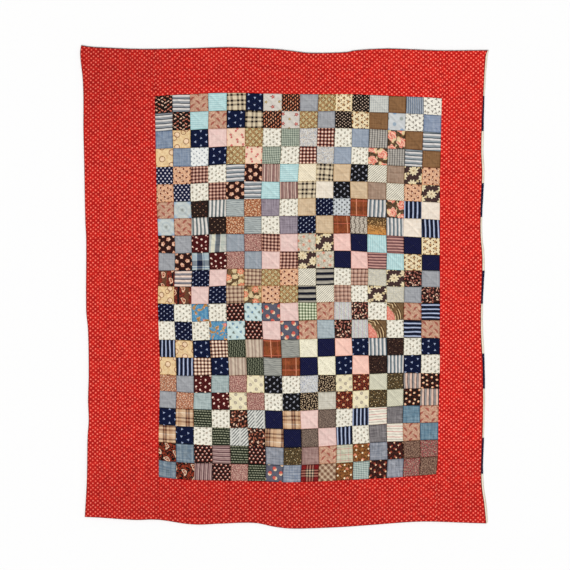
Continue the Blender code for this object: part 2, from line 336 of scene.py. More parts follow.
def relief(s, t):
    """Height of the front's upper side over the floor, metres."""
    s, t = np.broadcast_arrays(np.asarray(s, float), np.asarray(t, float))
    x, y = plan(s, t)
    X, Y = x / MM, y / MM
    inside = (s >= 0) & (s <= COLUMNS) & (t >= 0) & (t <= ROWS)
    side = (s < 0) | (s > COLUMNS)

    # The patchwork: puffs between the crossing lines of quilting, sunk at the seams.
    a, b = gap_to(s + t, 1) * PATCH / 1.414, gap_to(s - t, 1) * PATCH / 1.414
    u, v = gap_to(s, 1) * PATCH, gap_to(t, 1) * PATCH
    near = np.minimum(u, v)
    field = 1.25 * (1 - np.exp(-(a / 6.5) ** 1.4)) * (1 - np.exp(-(b / 6.5) ** 1.4))
    field *= 1 - 0.55 * np.exp(-near / 6)
    field += 0.42 * (1 - np.exp(-near / 3.2))
    # Seam allowances, pressed to alternate sides.
    across_side = np.where(np.round(s) % 2 == 0, s - np.round(s), np.round(s) - s) * PATCH
    down_side = np.where(np.round(t) % 2 == 0, t - np.round(t), np.round(t) - t) * PATCH
    allowance = np.clip(across_side, 0, 1) * np.clip((7.5 - across_side) / 1.6, 0, 1)
    allowance = np.maximum(allowance, np.clip(down_side, 0, 1)
                           * np.clip((7.5 - down_side) / 1.6, 0, 1))
    field += 0.26 * allowance
    field -= 0.55 * np.exp(-(u / 0.95) ** 2) + 0.55 * np.exp(-(v / 0.95) ** 2)
    # Puckers from the simulated panel, and short ripples square to each seam.
    field += 0.60 * read_panel(FIELD_PANEL, s, t) * (1 - 0.45 * np.exp(-near / 5))
    field += 1.05 * (noise(Y / 7.5, np.round(s) * 3.7, 21) - 0.5) * np.exp(-u / 10)
    field += 1.05 * (noise(X / 7.5, np.round(t) * 3.1, 22) - 0.5) * np.exp(-v / 10)
    field += 0.55 * (noise((X + Y) / 9, (X - Y) / 50, 23) - 0.5) * np.exp(-a / 12)

    # The borders: narrow rolls between slanting lines.
    c = gap_to(s + t, 0.5) * PATCH / 1.414
    seam = np.where(s < 0, -s, np.where(s > COLUMNS, s - COLUMNS, 99.0))
    seam = np.where(side, seam, np.where(t < 0, -t, t - ROWS)) * PATCH
    border = 1.05 * (1 - np.exp(-c / 4.6)) * (1 - np.exp(-seam / 7)) + 0.35 * (1 - np.exp(-seam / 3))
    border -= 0.55 * np.exp(-(seam / 0.95) ** 2)
    border += 0.36 * read_panel(BORDER_PANEL, s + 8, t + 8) * (1 - np.exp(-seam / 5))
    border += 0.5 * (noise((X + Y) / 9, seam / 40, 26) - 0.5) * np.exp(-seam / 10)
    # The join down the left border, where a narrow length was added.
    join = np.abs(s + 1.32 + 0.02 * np.sin(t * 0.9)) * PATCH
    border -= np.where(s < 0, 0.5 * np.exp(-(join / 1.4) ** 2) + 0.3 * np.exp(-join / 6), 0)

    # Creasing everywhere, from washing and folding.
    bend_x, bend_y = 14 * noise(X / 70, Y / 70, 31), 14 * noise(X / 70 + 40, Y / 70, 32)
    crumple = 0.95 * (noise((X + bend_x) / 44, (Y + bend_y) / 38, 33) - 0.5)
    crumple += 0.62 * (noise((X * 0.8 + Y * 0.6) / 30, (Y * 0.8 - X * 0.6) / 14, 34) - 0.5)
    crumple += 0.42 * (noise((X - bend_y) / 13, (Y + bend_x) / 13, 35) - 0.5)
    for cx, cy, angle, length, rise in CREASES:
        ca, sa = math.cos(math.radians(angle)), math.sin(math.radians(angle))
        p, q = (x - cx) * ca + (y - cy) * sa, (y - cy) * ca - (x - cx) * sa
        q = q + 0.10 * p * p / length
        crumple += rise * np.exp(-(p / length) ** 2 * 3) * (
            np.exp(-(q / 0.0032) ** 2) - 0.5 * np.exp(-((q - 0.0065) / 0.004) ** 2))

    h = BASE + np.where(inside, field, border) + crumple * np.where(inside, 1, 0.9)
    # The outer edge: a turned hem, then the fold rolling over to the underside.
    e = edge_distance(s, t)
    h += 0.28 * np.exp(-((e - 6.2) / 2.2) ** 2) - 0.35 * np.exp(-((e - 10.5) / 2.0) ** 2)
    turn = np.clip(1 - e / 4.2, 0, 1)
    h = mix(h, 2.0, 1 - np.sqrt(np.clip(1 - turn**2, 0, 1)))
    h = np.maximum(h, 1.9)
    return wave(x, y) + h * MM


# ---------------------------------------------------------------- mesh helpers
def stations(*parts):
    """Sorted distinct stations."""
    all_ = np.unique(np.round(np.concatenate([np.atleast_1d(p) for p in parts]), 5))
    return all_


HALF = np.array([0, .006, .015, .030, .052, .083, .123, .171, .225, .281, .337, .392, .446, .5])
CELL = np.concatenate([HALF, 1 - HALF[-2::-1]])          # a patch, fine towards its seams
NEAR = np.array([0, .006, .015, .030, .052])             # beside a seam
RIM = np.array([0, .004, .010, .018, .028, .040, .055, .075, .10, .13])


def strip(first, last, near_first, near_last):
    """Stations of a border strip, on the sixteenths that its slanting lines cross."""
    grid = np.arange(math.ceil(first * 16), math.floor(last * 16) + 1) / 16
    a, b = first + near_first, last - near_last
    inner = grid[(grid > a.max() + 0.015) & (grid < b.min() - 0.015)]
    return stations(a, inner, b)


def sparse(values, least):
    """Some of the stations, about `least` apart, with the first and last."""
    kept = [0]
    for k in range(1, len(values)):
        if values[k] - values[kept[-1]] >= least:
            kept.append(k)
    if values[-1] - values[kept[-1]] < least * 0.6 and len(kept) > 1:
        kept.pop()
    if kept[-1] != len(values) - 1:
        kept.append(len(values) - 1)
    return kept


def slab(name, S, T, low, slots, slant, cut, inset=(0, 0, 0, 0), coarse=0.25):
    """A thin closed sheet.  S and T are its stations, low gives the underside's height,
    slots(i, j) the material number of each cell, slant(i, j) which way each cell is split,
    and cut(s, t) the cloth coordinates in metres.  inset draws the left, right, top and
    bottom edges in, in metres."""
    nx, ny = len(S), len(T)
    s, t = np.meshgrid(S, T)                              # row j, column i
    x, y = plan(s, t)
    x[:, 0] += inset[0]
    x[:, -1] -= inset[1]
    y[0, :] -= inset[2]
    y[-1, :] += inset[3]
    z = relief(s, t)
    top = np.stack([x, y, z], -1).reshape(-1, 3)
    number = np.arange(nx * ny).reshape(ny, nx)
    bi, bj = sparse(S, coarse), sparse(T, coarse)
    bx, by = x[np.ix_(bj, bi)], y[np.ix_(bj, bi)]
    under = np.stack([bx, by, low(bx, by)], -1).reshape(-1, 3)
    below = nx * ny + np.arange(len(bi) * len(bj)).reshape(len(bj), len(bi))

    i, j = np.meshgrid(np.arange(nx - 1), np.arange(ny - 1))
    i, j = i.ravel(), j.ravel()
    a, b = number[j, i], number[j, i + 1]
    d, c = number[j + 1, i], number[j + 1, i + 1]         # a b over d c, y falls with j
    lean = slant(i, j)                                    # True splits from d up to b
    first = np.where(lean[:, None], np.stack([a, d, b], 1), np.stack([a, d, c], 1))
    other = np.where(lean[:, None], np.stack([d, c, b], 1), np.stack([a, c, b], 1))
    tris = np.stack([first, other], 1).reshape(-1, 3)
    index = np.repeat(slots(i, j), 2)
    faces = tris.tolist()
    materials = index.tolist()
    smooth = [True] * len(faces)
    cells = {(jj, ii): m for ii, jj, m in zip(i.tolist(), j.tolist(), slots(i, j).tolist())}

    def wall(points, foot_a, foot_b, material):
        faces.append(list(points) + [foot_b, foot_a])
        materials.append(material)
        smooth.append(False)

    for p, q in zip(range(len(bi) - 1), range(1, len(bi))):
        span = list(range(bi[p], bi[q] + 1))
        mid = (bi[p] + bi[q]) // 2
        mid = min(mid, nx - 2)
        wall([number[0, k] for k in span], below[0, p], below[0, q], cells[(0, mid)])
        wall([number[-1, k] for k in reversed(span)], below[-1, q], below[-1, p],
             cells[(ny - 2, mid)])
    for p, q in zip(range(len(bj) - 1), range(1, len(bj))):
        span = list(range(bj[p], bj[q] + 1))
        mid = min((bj[p] + bj[q]) // 2, ny - 2)
        wall([number[k, 0] for k in reversed(span)], below[q, 0], below[p, 0], cells[(mid, 0)])
        wall([number[k, -1] for k in span], below[p, -1], below[q, -1], cells[(mid, nx - 2)])
    for p in range(len(bi) - 1):
        for q in range(len(bj) - 1):
            faces.append([below[q, p], below[q, p + 1], below[q + 1, p + 1], below[q + 1, p]])
            materials.append(cells[(min(bj[q], ny - 2), min(bi[p], nx - 2))])
            smooth.append(False)

    mesh = bpy.data.meshes.new(name)
    verts = np.concatenate([top, under])
    mesh.from_pydata(verts.tolist(), [], [[int(k) for k in f] for f in faces])
    mesh.polygons.foreach_set("material_index", materials)
    mesh.polygons.foreach_set("use_smooth", smooth)
    grid = np.concatenate([np.stack([s.ravel(), t.ravel()], 1),
                           np.stack([s[np.ix_(bj, bi)].ravel(), t[np.ix_(bj, bi)].ravel()], 1)])
    write_maps(mesh, grid, cut)
    mesh.set_sharp_from_angle(angle=math.radians(52))
    mesh.update()
    obj = bpy.data.objects.new(name, mesh)
    quilt.objects.link(obj)
    return obj


def write_maps(mesh, grid, cut):
    """The maps: "cloth" is the fabric's own metres, "grid" the quilt's patches."""
    corners = np.empty(len(mesh.loops), np.int32)
    mesh.loops.foreach_get("vertex_index", corners)
    starts = np.empty(len(mesh.polygons), np.int32)
    totals = np.empty(len(mesh.polygons), np.int32)
    mesh.polygons.foreach_get("loop_start", starts)
    mesh.polygons.foreach_get("loop_total", totals)
    places = grid[corners]
    owner = np.repeat(np.arange(len(totals)), totals)
    centre = np.stack([np.bincount(owner, places[:, k]) for k in (0, 1)], 1) / totals[:, None]
    cloth = mesh.uv_layers.new(name="cloth")
    cloth.data.foreach_set("uv", cut(places, centre[owner]).astype(np.float32).ravel())
    plain = mesh.uv_layers.new(name="grid")
    plain.data.foreach_set("uv", places.astype(np.float32).ravel())


def finish_sheet(obj, materials, node):
    for m in materials:
        obj.data.materials.append(m)
    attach(obj, "root")
    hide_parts(node)


# ---------------------------------------------------------------- node building
def rgb(*c):
    """A colour given as ordinary screen numbers, made linear."""
    return tuple(((v / 255 + 0.055) / 1.055) ** 2.4 if v > 10.3 else v / 255 / 12.92 for v in c)


class Socket:
    """One output socket that ordinary arithmetic can be done on."""
    def __init__(self, cloth, out):
        self.cloth, self.out = cloth, out

    def __add__(self, o): return self.cloth.math("ADD", self, o)
    def __radd__(self, o): return self.cloth.math("ADD", o, self)
    def __sub__(self, o): return self.cloth.math("SUBTRACT", self, o)
    def __rsub__(self, o): return self.cloth.math("SUBTRACT", o, self)
    def __mul__(self, o): return self.cloth.math("MULTIPLY", self, o)
    def __rmul__(self, o): return self.cloth.math("MULTIPLY", o, self)
    def __truediv__(self, o): return self.cloth.math("DIVIDE", self, o)
    def __neg__(self): return self.cloth.math("MULTIPLY", self, -1.0)


class Cloth:
    """A fabric material under construction.  u and v are the cloth's own millimetres."""
    def __init__(self, name):
        self.mat = bpy.data.materials.new(name)
        self.mat.use_nodes = True
        self.tree = self.mat.node_tree
        self.tree.nodes.clear()
        self.out = self.node("ShaderNodeOutputMaterial")
        self.shader = self.node("ShaderNodeBsdfPrincipled")
        self.tree.links.new(self.shader.outputs[0], self.out.inputs[0])
        m = self.node("ShaderNodeUVMap")
        m.uv_map = "cloth"
        self.mm = self.vec("SCALE", Socket(self, m.outputs[0]), scale=1000.0)
        self.u, self.v, _ = self.split(self.mm)
        g = self.node("ShaderNodeUVMap")
        g.uv_map = "grid"
        self.grid = Socket(self, g.outputs[0])
        self.s, self.t, _ = self.split(self.grid)

    def node(self, kind):
        return self.tree.nodes.new(kind)

    def put(self, socket, value):
        if isinstance(value, Socket):
            self.tree.links.new(value.out, socket)
        elif value is not None:
            if isinstance(value, (tuple, list)) and socket.type == "RGBA" and len(value) == 3:
                value = (*value, 1.0)
            socket.default_value = value

    def math(self, op, a, b=None, c=None, clamp=False):
        n = self.node("ShaderNodeMath")
        n.operation, n.use_clamp = op, clamp
        for k, value in enumerate((a, b, c)):
            if value is not None:
                self.put(n.inputs[k], value)
        return Socket(self, n.outputs[0])

    def vec(self, op, a, b=None, c=None, scale=None):
        n = self.node("ShaderNodeVectorMath")
        n.operation = op
        for k, value in enumerate((a, b, c)):
            if value is not None:
                self.put(n.inputs[k], value)
        if scale is not None:
            self.put(n.inputs["Scale"], scale)
        return Socket(self, n.outputs["Value" if op in ("LENGTH", "DOT_PRODUCT", "DISTANCE") else "Vector"])

    def join(self, x, y, z=0.0):
        n = self.node("ShaderNodeCombineXYZ")
        for k, value in enumerate((x, y, z)):
            self.put(n.inputs[k], value)
        return Socket(self, n.outputs[0])

    def split(self, v):
        n = self.node("ShaderNodeSeparateXYZ")
        self.put(n.inputs[0], v)
        return [Socket(self, o) for o in n.outputs]

    def step(self, x, a, b):
        """0 at a rising smoothly to 1 at b; b may be the lower."""
        n = self.node("ShaderNodeMapRange")
        n.interpolation_type = "SMOOTHSTEP"
        for k, value in enumerate((x, a, b, 0.0, 1.0)):
            self.put(n.inputs[k], value)
        return Socket(self, n.outputs[0])

    def within(self, x, r, soft=0.5):
        return self.step(x, r + soft, r - soft)

    def blend(self, a, b, f, mode="MIX"):
        n = self.node("ShaderNodeMix")
        n.data_type, n.blend_type = "RGBA", mode
        self.put(n.inputs[0], f)
        self.put(n.inputs[6], a)
        self.put(n.inputs[7], b)
        return Socket(self, n.outputs[2])

    def over(self, base, *layers):
        """base with each (colour, mask) laid over it in turn."""
        for colour, mask in layers:
            base = self.blend(base, colour, mask)
        return base

    def noise(self, size, detail=0.0, stretch=None, seed=0, rough=0.5, distort=0.0, of=None):
        n = self.node("ShaderNodeTexNoise")
        n.noise_dimensions = "2D"
        base = of or self.mm
        if stretch or seed:
            sx, sy = stretch or (1, 1)
            base = self.vec("MULTIPLY_ADD", base, (sx, sy, 1), (seed * 17.3, seed * 9.1, 0))
        self.put(n.inputs["Vector"], base)
        n.inputs["Scale"].default_value = 1 / size
        n.inputs["Detail"].default_value = detail
        n.inputs["Roughness"].default_value = rough
        n.inputs["Distortion"].default_value = distort
        return Socket(self, n.outputs[0])

    def ramp(self, f, stops, kind="LINEAR"):
        n = self.node("ShaderNodeValToRGB")
        n.color_ramp.interpolation = kind
        e = n.color_ramp.elements
        while len(e) > 1:
            e.remove(e[-1])
        for k, (at, colour) in enumerate(stops):
            p = e[0] if k == 0 else e.new(at)
            p.position = at
            p.color = (*colour, 1.0)
        self.put(n.inputs[0], f)
        return Socket(self, n.outputs[0])

    def stripes(self, q, period, bands, soft=0.0, shift=0.0):
        """Bands (width, colour) in turn along q, fitted to the period."""
        total = sum(w for w, _ in bands)
        f = self.math("FRACT", self.math("MULTIPLY_ADD", q, 1 / period, shift + 100.0))
        stops, at = [], 0.0
        edge = soft / period / 2
        for w, colour in bands:
            stops.append((min(at + edge, 1), colour))
            at += w / total
            if edge:
                stops.append((max(at - edge, 0), colour))
        return self.ramp(f, stops, "LINEAR" if edge else "CONSTANT")

    def near(self, q, period, shift=0.0):
        """Distance from q to the nearest multiple of period, after a shift."""
        return self.math("PINGPONG", q + shift if shift else q, period / 2)

    def band(self, q, period, width, soft=0.4, shift=0.0):
        return self.within(self.near(q, period, shift), width / 2, soft)

    def lattice(self, pu, pv, drop=0.5, jitter=0.0, seed=0, u=None, v=None):
        """Cells of pu by pv, each column dropped by its share: local x and y and three
        random numbers for each cell."""
        u, v = u or self.u, v or self.v
        a = u / pu + (seed * 0.37 + 200)
        col = self.math("FLOOR", a)
        b = v / pv + (seed * 0.53 + 200)
        if drop:
            b = self.math("MULTIPLY_ADD", col, drop, b)
        row = self.math("FLOOR", b)
        w = self.node("ShaderNodeTexWhiteNoise")
        w.noise_dimensions = "3D"
        self.put(w.inputs["Vector"], self.join(col, row, float(seed)))
        r = self.split(Socket(self, w.outputs["Color"]))
        x, y = (a - col - 0.5) * pu, (b - row - 0.5) * pv
        if jitter:
            x = self.math("MULTIPLY_ADD", r[0] - 0.5, jitter * pu, x)
            y = self.math("MULTIPLY_ADD", r[1] - 0.5, jitter * pv, y)
        return x, y, r

    def scatter(self, p, loose=1.0, seed=0, stretch=None):
        """Irregular cells about p across: local x and y, distance, three random numbers."""
        n = self.node("ShaderNodeTexVoronoi")
        n.voronoi_dimensions, n.feature = "2D", "F1"
        base = self.mm
        if stretch or seed:
            sx, sy = stretch or (1, 1)
            base = self.vec("MULTIPLY_ADD", base, (sx, sy, 1), (seed * 31.7, seed * 11.9, 0))
        self.put(n.inputs["Vector"], base)
        n.inputs["Scale"].default_value = 1 / p
        n.inputs["Randomness"].default_value = loose
        local = self.vec("SUBTRACT", base, Socket(self, n.outputs["Position"]))
        x, y, _ = self.split(local)
        r = self.split(Socket(self, n.outputs["Color"]))
        return x, y, Socket(self, n.outputs["Distance"]) * p, r

    def turn(self, x, y, angle):
        n = self.node("ShaderNodeVectorRotate")
        n.rotation_type = "Z_AXIS"
        self.put(n.inputs["Vector"], self.join(x, y))
        self.put(n.inputs["Angle"], angle)
        rx, ry, _ = self.split(Socket(self, n.outputs[0]))
        return rx, ry

    def radius(self, x, y):
        return self.vec("LENGTH", self.join(x, y))

    def disc(self, x, y, r, soft=0.5):
        return self.within(self.radius(x, y), r, soft)

    def oval(self, x, y, a, b, soft=0.12):
        return self.within(self.radius(x / a, y / b), 1.0, soft)

    def ring(self, x, y, r, width, soft=0.4):
        return self.within(self.math("ABSOLUTE", self.radius(x, y) - r), width / 2, soft)

    def leaf(self, x, y, half, width, soft=0.35):
        """A pointed leaf along x, centred, of that half length and width."""
        edge = self.math("MULTIPLY_ADD", x * x, width / 2 / (half * half),
                         self.math("ABSOLUTE", y))
        return self.within(edge, width / 2, soft)

    def petals(self, x, y, r, count, depth=0.3, soft=0.5, phase=0.0):
        angle = self.math("ARCTAN2", y, x)
        wavy = self.math("COSINE", self.math("MULTIPLY_ADD", angle, float(count), phase))
        reach = self.math("MULTIPLY_ADD", wavy, -depth * r, self.radius(x, y))
        return self.within(reach, r * (1 - depth), soft)

    def most(self, *masks):
        m = masks[0]
        for other in masks[1:]:
            m = self.math("MAXIMUM", m, other)
        return m

    def sprig(self, x, y, size, angle):
        """Three little leaves on one point."""
        x, y = self.turn(x, y, angle)
        body = self.leaf(x, y, size * 0.55, size * 0.30)
        side_x, side_y = self.turn(x - size * 0.05, self.math("ABSOLUTE", y), -0.95)
        return self.most(body, self.leaf(side_x - size * 0.30, side_y, size * 0.34, size * 0.24))

    def finish(self, colour, rough=0.88, sheen=0.08, specular=0.2, mottle=0.10, thread=0.10,
               weave=0.03, count=2.3, lines="patch", slub=0.0, crinkle=0.10, aged=True):
        """Thread, age, painted shade at the seams, along the quilting lines and over the border, quilting stitches and
        relief, the same for every fabric.
        """
        if lines == "patch":
            seam = self.math("MINIMUM", self.near(self.s, 1.0), self.near(self.t, 1.0)) * PATCH
        if aged:
            # Faded cloth all over; beside the seams the colour is deepened further.
            deeper = self.node("ShaderNodeGamma")
            self.put(deeper.inputs[0], colour)
            deeper.inputs[1].default_value = 1.12
            if lines == "patch":
                self.put(deeper.inputs[1], self.math("MULTIPLY_ADD", self.step(seam, 5.5, 1.5), 0.42, 1.12))
            colour = self.vec("MULTIPLY", Socket(self, deeper.outputs[0]), (0.905, 0.895, 0.875))
        cloudy = self.noise(17, 2.0, seed=3)
        threads = self.noise(1.1, 1.0, stretch=(1, 0.16), seed=5)
        tone = self.math("MULTIPLY_ADD", cloudy - 0.5, mottle * 2, 1.0)
        tone = self.math("MULTIPLY_ADD", threads - 0.5, thread * 2, tone)
        if slub:
            warp = self.noise(3.2, 1.0, stretch=(1, 0.05), seed=7)
            weft = self.noise(3.6, 1.0, stretch=(0.05, 1), seed=8)
            tone = self.math("MULTIPLY_ADD", warp + weft - 1.0, slub * 2, tone)
        if lines == "patch":
            dice_ = self.node("ShaderNodeTexWhiteNoise")
            dice_.noise_dimensions = "2D"
            self.put(dice_.inputs["Vector"], self.vec("FLOOR", self.grid))
            tone = self.math("MULTIPLY_ADD", Socket(self, dice_.outputs["Value"]) - 0.5, 0.05, tone)
            a = self.near(self.s + self.t, 1.0) * (PATCH / 1.414)
            b = self.near(self.s - self.t, 1.0) * (PATCH / 1.414)
            sewn = self.math("MINIMUM", a, b)
            # Painted shade in the seam lines: the colour darkened to 0.7 at each seam, back to full within about 1.3
            # mm.
            tone = tone * self.math("MULTIPLY_ADD", self.step(seam, 0.2, 1.3), 0.30, 0.70)
        elif lines == "border":
            sewn = self.near(self.s + self.t, 0.5) * (PATCH / 1.414)
            x, y = self.s - (LEFT + RIGHT) / 2, self.t - (HEAD + FOOT) / 2
            e = self.math("MINIMUM",
                          (RIGHT - LEFT) / 2 - self.math("ABSOLUTE", x),
                          (FOOT - HEAD) / 2 - self.math("ABSOLUTE", y)) * PATCH
            # Painted shade along the rolled outer edge: the colour falls to about a third at the very edge.
            tone = tone * self.math("MULTIPLY_ADD", self.step(e, 0.8, 5.4), 0.66, 0.34)
            # Painted shade and light over the border: darker towards the foot and the top left corner, lighter down the
            # right side.
            corner = self.radius(self.s - LEFT, self.t - HEAD)
            tone = tone * self.math("MULTIPLY_ADD", self.step(corner, 9.0, 0.0), -0.16, 1.0)
            tone = tone * self.math("MULTIPLY_ADD", self.step(self.t, 19.0, 24.0), -0.12, 1.0)
            tone = tone * self.math("MULTIPLY_ADD", self.step(self.s, 6.0, 17.0), 0.12, 1.02)
        else:
            sewn = None
        if sewn is not None:
            # Painted shade along the quilting lines: 2% darker within 2 mm of each line.
            tone = tone * self.math("MULTIPLY_ADD", self.step(sewn, 0.0, 2.0), 0.02, 0.98)
        self.put(self.shader.inputs["Base Color"], self.vec("SCALE", colour, scale=tone))
        # Relief, in millimetres.
        k = count * math.pi
        height = self.math("SINE", self.u * k) * self.math("SINE", self.v * k) * weave
        height = self.math("MULTIPLY_ADD", self.noise(5.5, 2.0, seed=2), crinkle * 2, height)
        height = self.math("MULTIPLY_ADD", threads, 0.05, height)
        if sewn is not None:
            height = self.math("MULTIPLY_ADD", self.step(sewn, 0.0, 1.3), 0.12, height)
        bump = self.node("ShaderNodeBump")
        bump.inputs["Strength"].default_value = 1.0
        bump.inputs["Distance"].default_value = MM
        self.put(bump.inputs["Height"], height)
        self.tree.links.new(bump.outputs[0], self.shader.inputs["Normal"])
        self.put(self.shader.inputs["Roughness"],
                 self.math("MULTIPLY_ADD", cloudy - 0.5, 0.14, rough, clamp=True))
        self.shader.inputs["Sheen Weight"].default_value = sheen
        self.shader.inputs["Sheen Roughness"].default_value = 0.5
        self.shader.inputs["Specular IOR Level"].default_value = specular
        self.shader.inputs["Metallic"].default_value = 0.0
        return self.mat


# ---------------------------------------------------------------- fabrics
FABRICS = {}


def fabric(name, **look):
    def keep(draw):
        FABRICS[name] = (draw, look)
        return draw
    return keep


def named(name, draw, **look):
    FABRICS[name] = (draw, look)


# --- plain weaves
def streaked(base, other, amount=0.5, p=4.0, grid=None):
    """A yarn-dyed weave: streaks of a second tone both ways."""
    def draw(k):
        warp = k.noise(p, 1.0, stretch=(1, 0.05), seed=11)
        weft = k.noise(p, 1.0, stretch=(0.05, 1), seed=12)
        f = k.math("MULTIPLY_ADD", warp + weft - 1.0, 3.2 * amount, 0.45, clamp=True)
        base_ = k.blend(rgb(*base), rgb(*other), f)
        if grid:
            pitch, colour, much = grid
            lines = k.most(k.band(k.u, pitch, 1.5, 0.8), k.band(k.v, pitch * 1.13, 1.5, 0.8))
            base_ = k.over(base_, (rgb(*colour), lines * much))
        return base_
    return draw


named("coolgrey", streaked((181, 183, 187), (156, 158, 164), 0.45), slub=0.05)
named("bluegrey_chambray", streaked((162, 174, 190), (128, 144, 168), 0.7, grid=(7.6, (108, 122, 146), 0.3)), slub=0.05)
named("slateblue_chambray", streaked((164, 174, 192), (130, 146, 172), 0.7), slub=0.05)
named("slate_blue", streaked((178, 187, 200), (152, 164, 180), 0.45, grid=(6.6, (140, 152, 172), 0.2)), slub=0.05)
named("steel_chambray", streaked((142, 166, 180), (102, 134, 154), 0.7, grid=(15, (80, 104, 124), 0.55)), slub=0.06, mottle=0.2)
named("steel_blue", streaked((152, 165, 174), (112, 130, 146), 0.7, 6.0), slub=0.06, mottle=0.28)
named("greyblue_mottled", streaked((172, 174, 182), (132, 138, 150), 0.5, 5.0), slub=0.06, mottle=0.36)
named("slate_plain", streaked((172, 178, 188), (134, 144, 162), 0.8, 6.0), slub=0.05, mottle=0.24)
named("pale_pink", streaked((244, 218, 211), (232, 200, 195), 0.5, 3.2), mottle=0.12)
named("pink", streaked((250, 216, 207), (240, 198, 190), 0.4, 3.2))
named("peach_pink", streaked((255, 217, 203), (249, 203, 190), 0.3, 3.2))
named("sand", streaked((230, 208, 178), (208, 182, 150), 0.5, 3.2))
named("taupe", streaked((186, 162, 144), (158, 132, 114), 0.5), slub=0.02)
named("mauve_taupe", streaked((178, 150, 144), (148, 116, 112), 0.6), slub=0.04)
named("brown_plain", streaked((156, 119, 84), (134, 99, 66), 0.5), slub=0.07)
named("ivory", streaked((248, 240, 226), (230, 218, 202), 0.4))
named("pale_cream_pink", streaked((250, 240, 228), (238, 224, 208), 0.4))
named("grey_mauve", streaked((178, 168, 178), (142, 130, 142), 0.6, grid=(5.6, (124, 112, 126), 0.3)), slub=0.03)
named("greyaqua", streaked((190, 203, 202), (160, 175, 176), 0.7), slub=0.05)
named("pale_grey_cream", streaked((222, 218, 206), (198, 192, 178), 0.6), slub=0.03)
named("dark_grey", streaked((154, 149, 150), (114, 109, 112), 0.8, 3.4, grid=(5.2, (98, 93, 96), 0.2)), slub=0.06, mottle=0.2)


def aqua(lines_u, lines_v):
    def draw(k):
        base = streaked((210, 236, 236), (190, 222, 224), 0.4)(k)
        return k.over(base, (rgb(154, 196, 202), k.band(k.u, 8.8, 2.4, 0.9) * lines_u),
                      (rgb(154, 196, 202), k.band(k.v, 8.8, 1.8, 0.9) * lines_v))
    return draw


named("aqua", aqua(0.7, 0.15))


@fabric("creamyellow_fine")
def _(k):
    x, y, r = k.lattice(5.6, 11.0, 0.5, 0.1, 43)
    return k.over(rgb(247, 237, 214), (rgb(206, 180, 138), k.disc(x, y, 1.5, 0.6) * 0.85))


@fabric("slate_lilac", slub=0.05)
def _(k):
    base = streaked((172, 179, 186), (148, 157, 168), 0.4)(k)
    return k.over(base, (rgb(192, 193, 200), k.band(k.u, 38, 5.0, 3.0) * 0.35))


@fabric("greybeige_faint")
def _(k):
    base = streaked((224, 219, 204), (204, 200, 188), 0.6)(k)
    return k.over(base, (rgb(222, 212, 178), k.step(k.noise(6, 1, seed=43), 0.56, 0.62) * 0.5),
                  (rgb(180, 180, 176), k.step(k.noise(5, 1, seed=44), 0.54, 0.62) * 0.6))


@fabric("lightgrey_lilac")
def _(k):
    base = k.stripes(k.u, 19, [(4, rgb(216, 216, 214)), (1.0, rgb(208, 178, 184)),
                               (2, rgb(214, 216, 212)), (1.0, rgb(216, 208, 180))], soft=1.5)
    return k.over(base, (rgb(172, 178, 188), k.step(k.noise(4.5, 1), 0.52, 0.64) * 0.7))


# --- ticking and other stripes
def striped(period, bands, soft=0.6, waver=0.0):
    bands = [(w, rgb(*c)) for w, c in bands]

    def draw(k):
        q = k.u + k.noise(64, 1.0, seed=45) * waver if waver else k.u
        return k.stripes(q, period, bands, soft=soft)
    return draw


named("ticking", striped(18.6, [(6.6, (228, 224, 220)), (4.2, (48, 58, 70)), (4.6, (164, 168, 174)),
                                (1.6, (90, 98, 108)), (2.8, (196, 196, 196))], waver=3))
named("ticking_lav", striped(18.6, [(6.0, (228, 224, 222)), (4.0, (62, 78, 90)),
                                    (4.6, (162, 170, 176)), (1.4, (104, 116, 126)),
                                    (2.8, (204, 204, 204))], waver=3))
named("ticking_white", striped(16.6, [(6.4, (234, 228, 222)), (2.2, (168, 174, 174)),
                                      (4.2, (92, 104, 108)), (1.6, (152, 158, 158)),
                                      (2.2, (196, 196, 190))], waver=2))
named("ticking_slate", striped(16.6, [(5.4, (238, 232, 228)), (2.2, (164, 170, 172)), (4.6, (98, 116, 128)),
                                      (4.4, (174, 176, 176))], waver=3))
named("ticking_creampink", striped(20.5, [(7.8, (240, 218, 204)), (4.2, (70, 74, 92)),
                                          (4.0, (170, 164, 168)), (2.0, (100, 100, 114)),
                                          (2.5, (224, 208, 200))], waver=3))
named("pinkbeige_stripe", striped(19.0, [(7.4, (226, 196, 180)), (4.2, (74, 74, 84)),
                                         (2.6, (200, 192, 186)), (2.6, (104, 102, 110)),
                                         (2.2, (212, 190, 176))], waver=2))
named("navy_blue_stripe", striped(18.4, [(10.2, (6, 10, 44)), (1.8, (88, 108, 144)), (3.8, (206, 212, 232)),
                                         (2.6, (116, 136, 168))], waver=3))
named("navygrey_stripe", striped(25.4, [(11.8, (7, 11, 38)), (1.2, (112, 110, 106)),
                                        (9.2, (184, 178, 166)), (1.2, (112, 110, 108)),
                                        (2.0, (184, 178, 166))], waver=3))
named("mauve_stripe", striped(31, [(6, (164, 130, 124)), (4, (214, 188, 176)), (3, (112, 80, 80)),
                                   (5, (190, 158, 148)), (3, (124, 90, 88)), (5, (220, 196, 184)),
                                   (5, (140, 104, 102))], soft=1.6), slub=0.03)
named("mauve_hstripe", striped(12.8, [(3.2, (206, 164, 154)), (2.0, (158, 112, 110)), (3.8, (104, 64, 72)),
                                      (1.8, (170, 126, 120)), (2.0, (202, 158, 148))], waver=2))
named("mauve_pale_stripe", striped(17, [(3.4, (104, 72, 78)), (3.6, (186, 156, 152)),
                                        (3, (130, 98, 100)), (5, (196, 170, 164)),
                                        (2, (118, 86, 90))], soft=1.2))
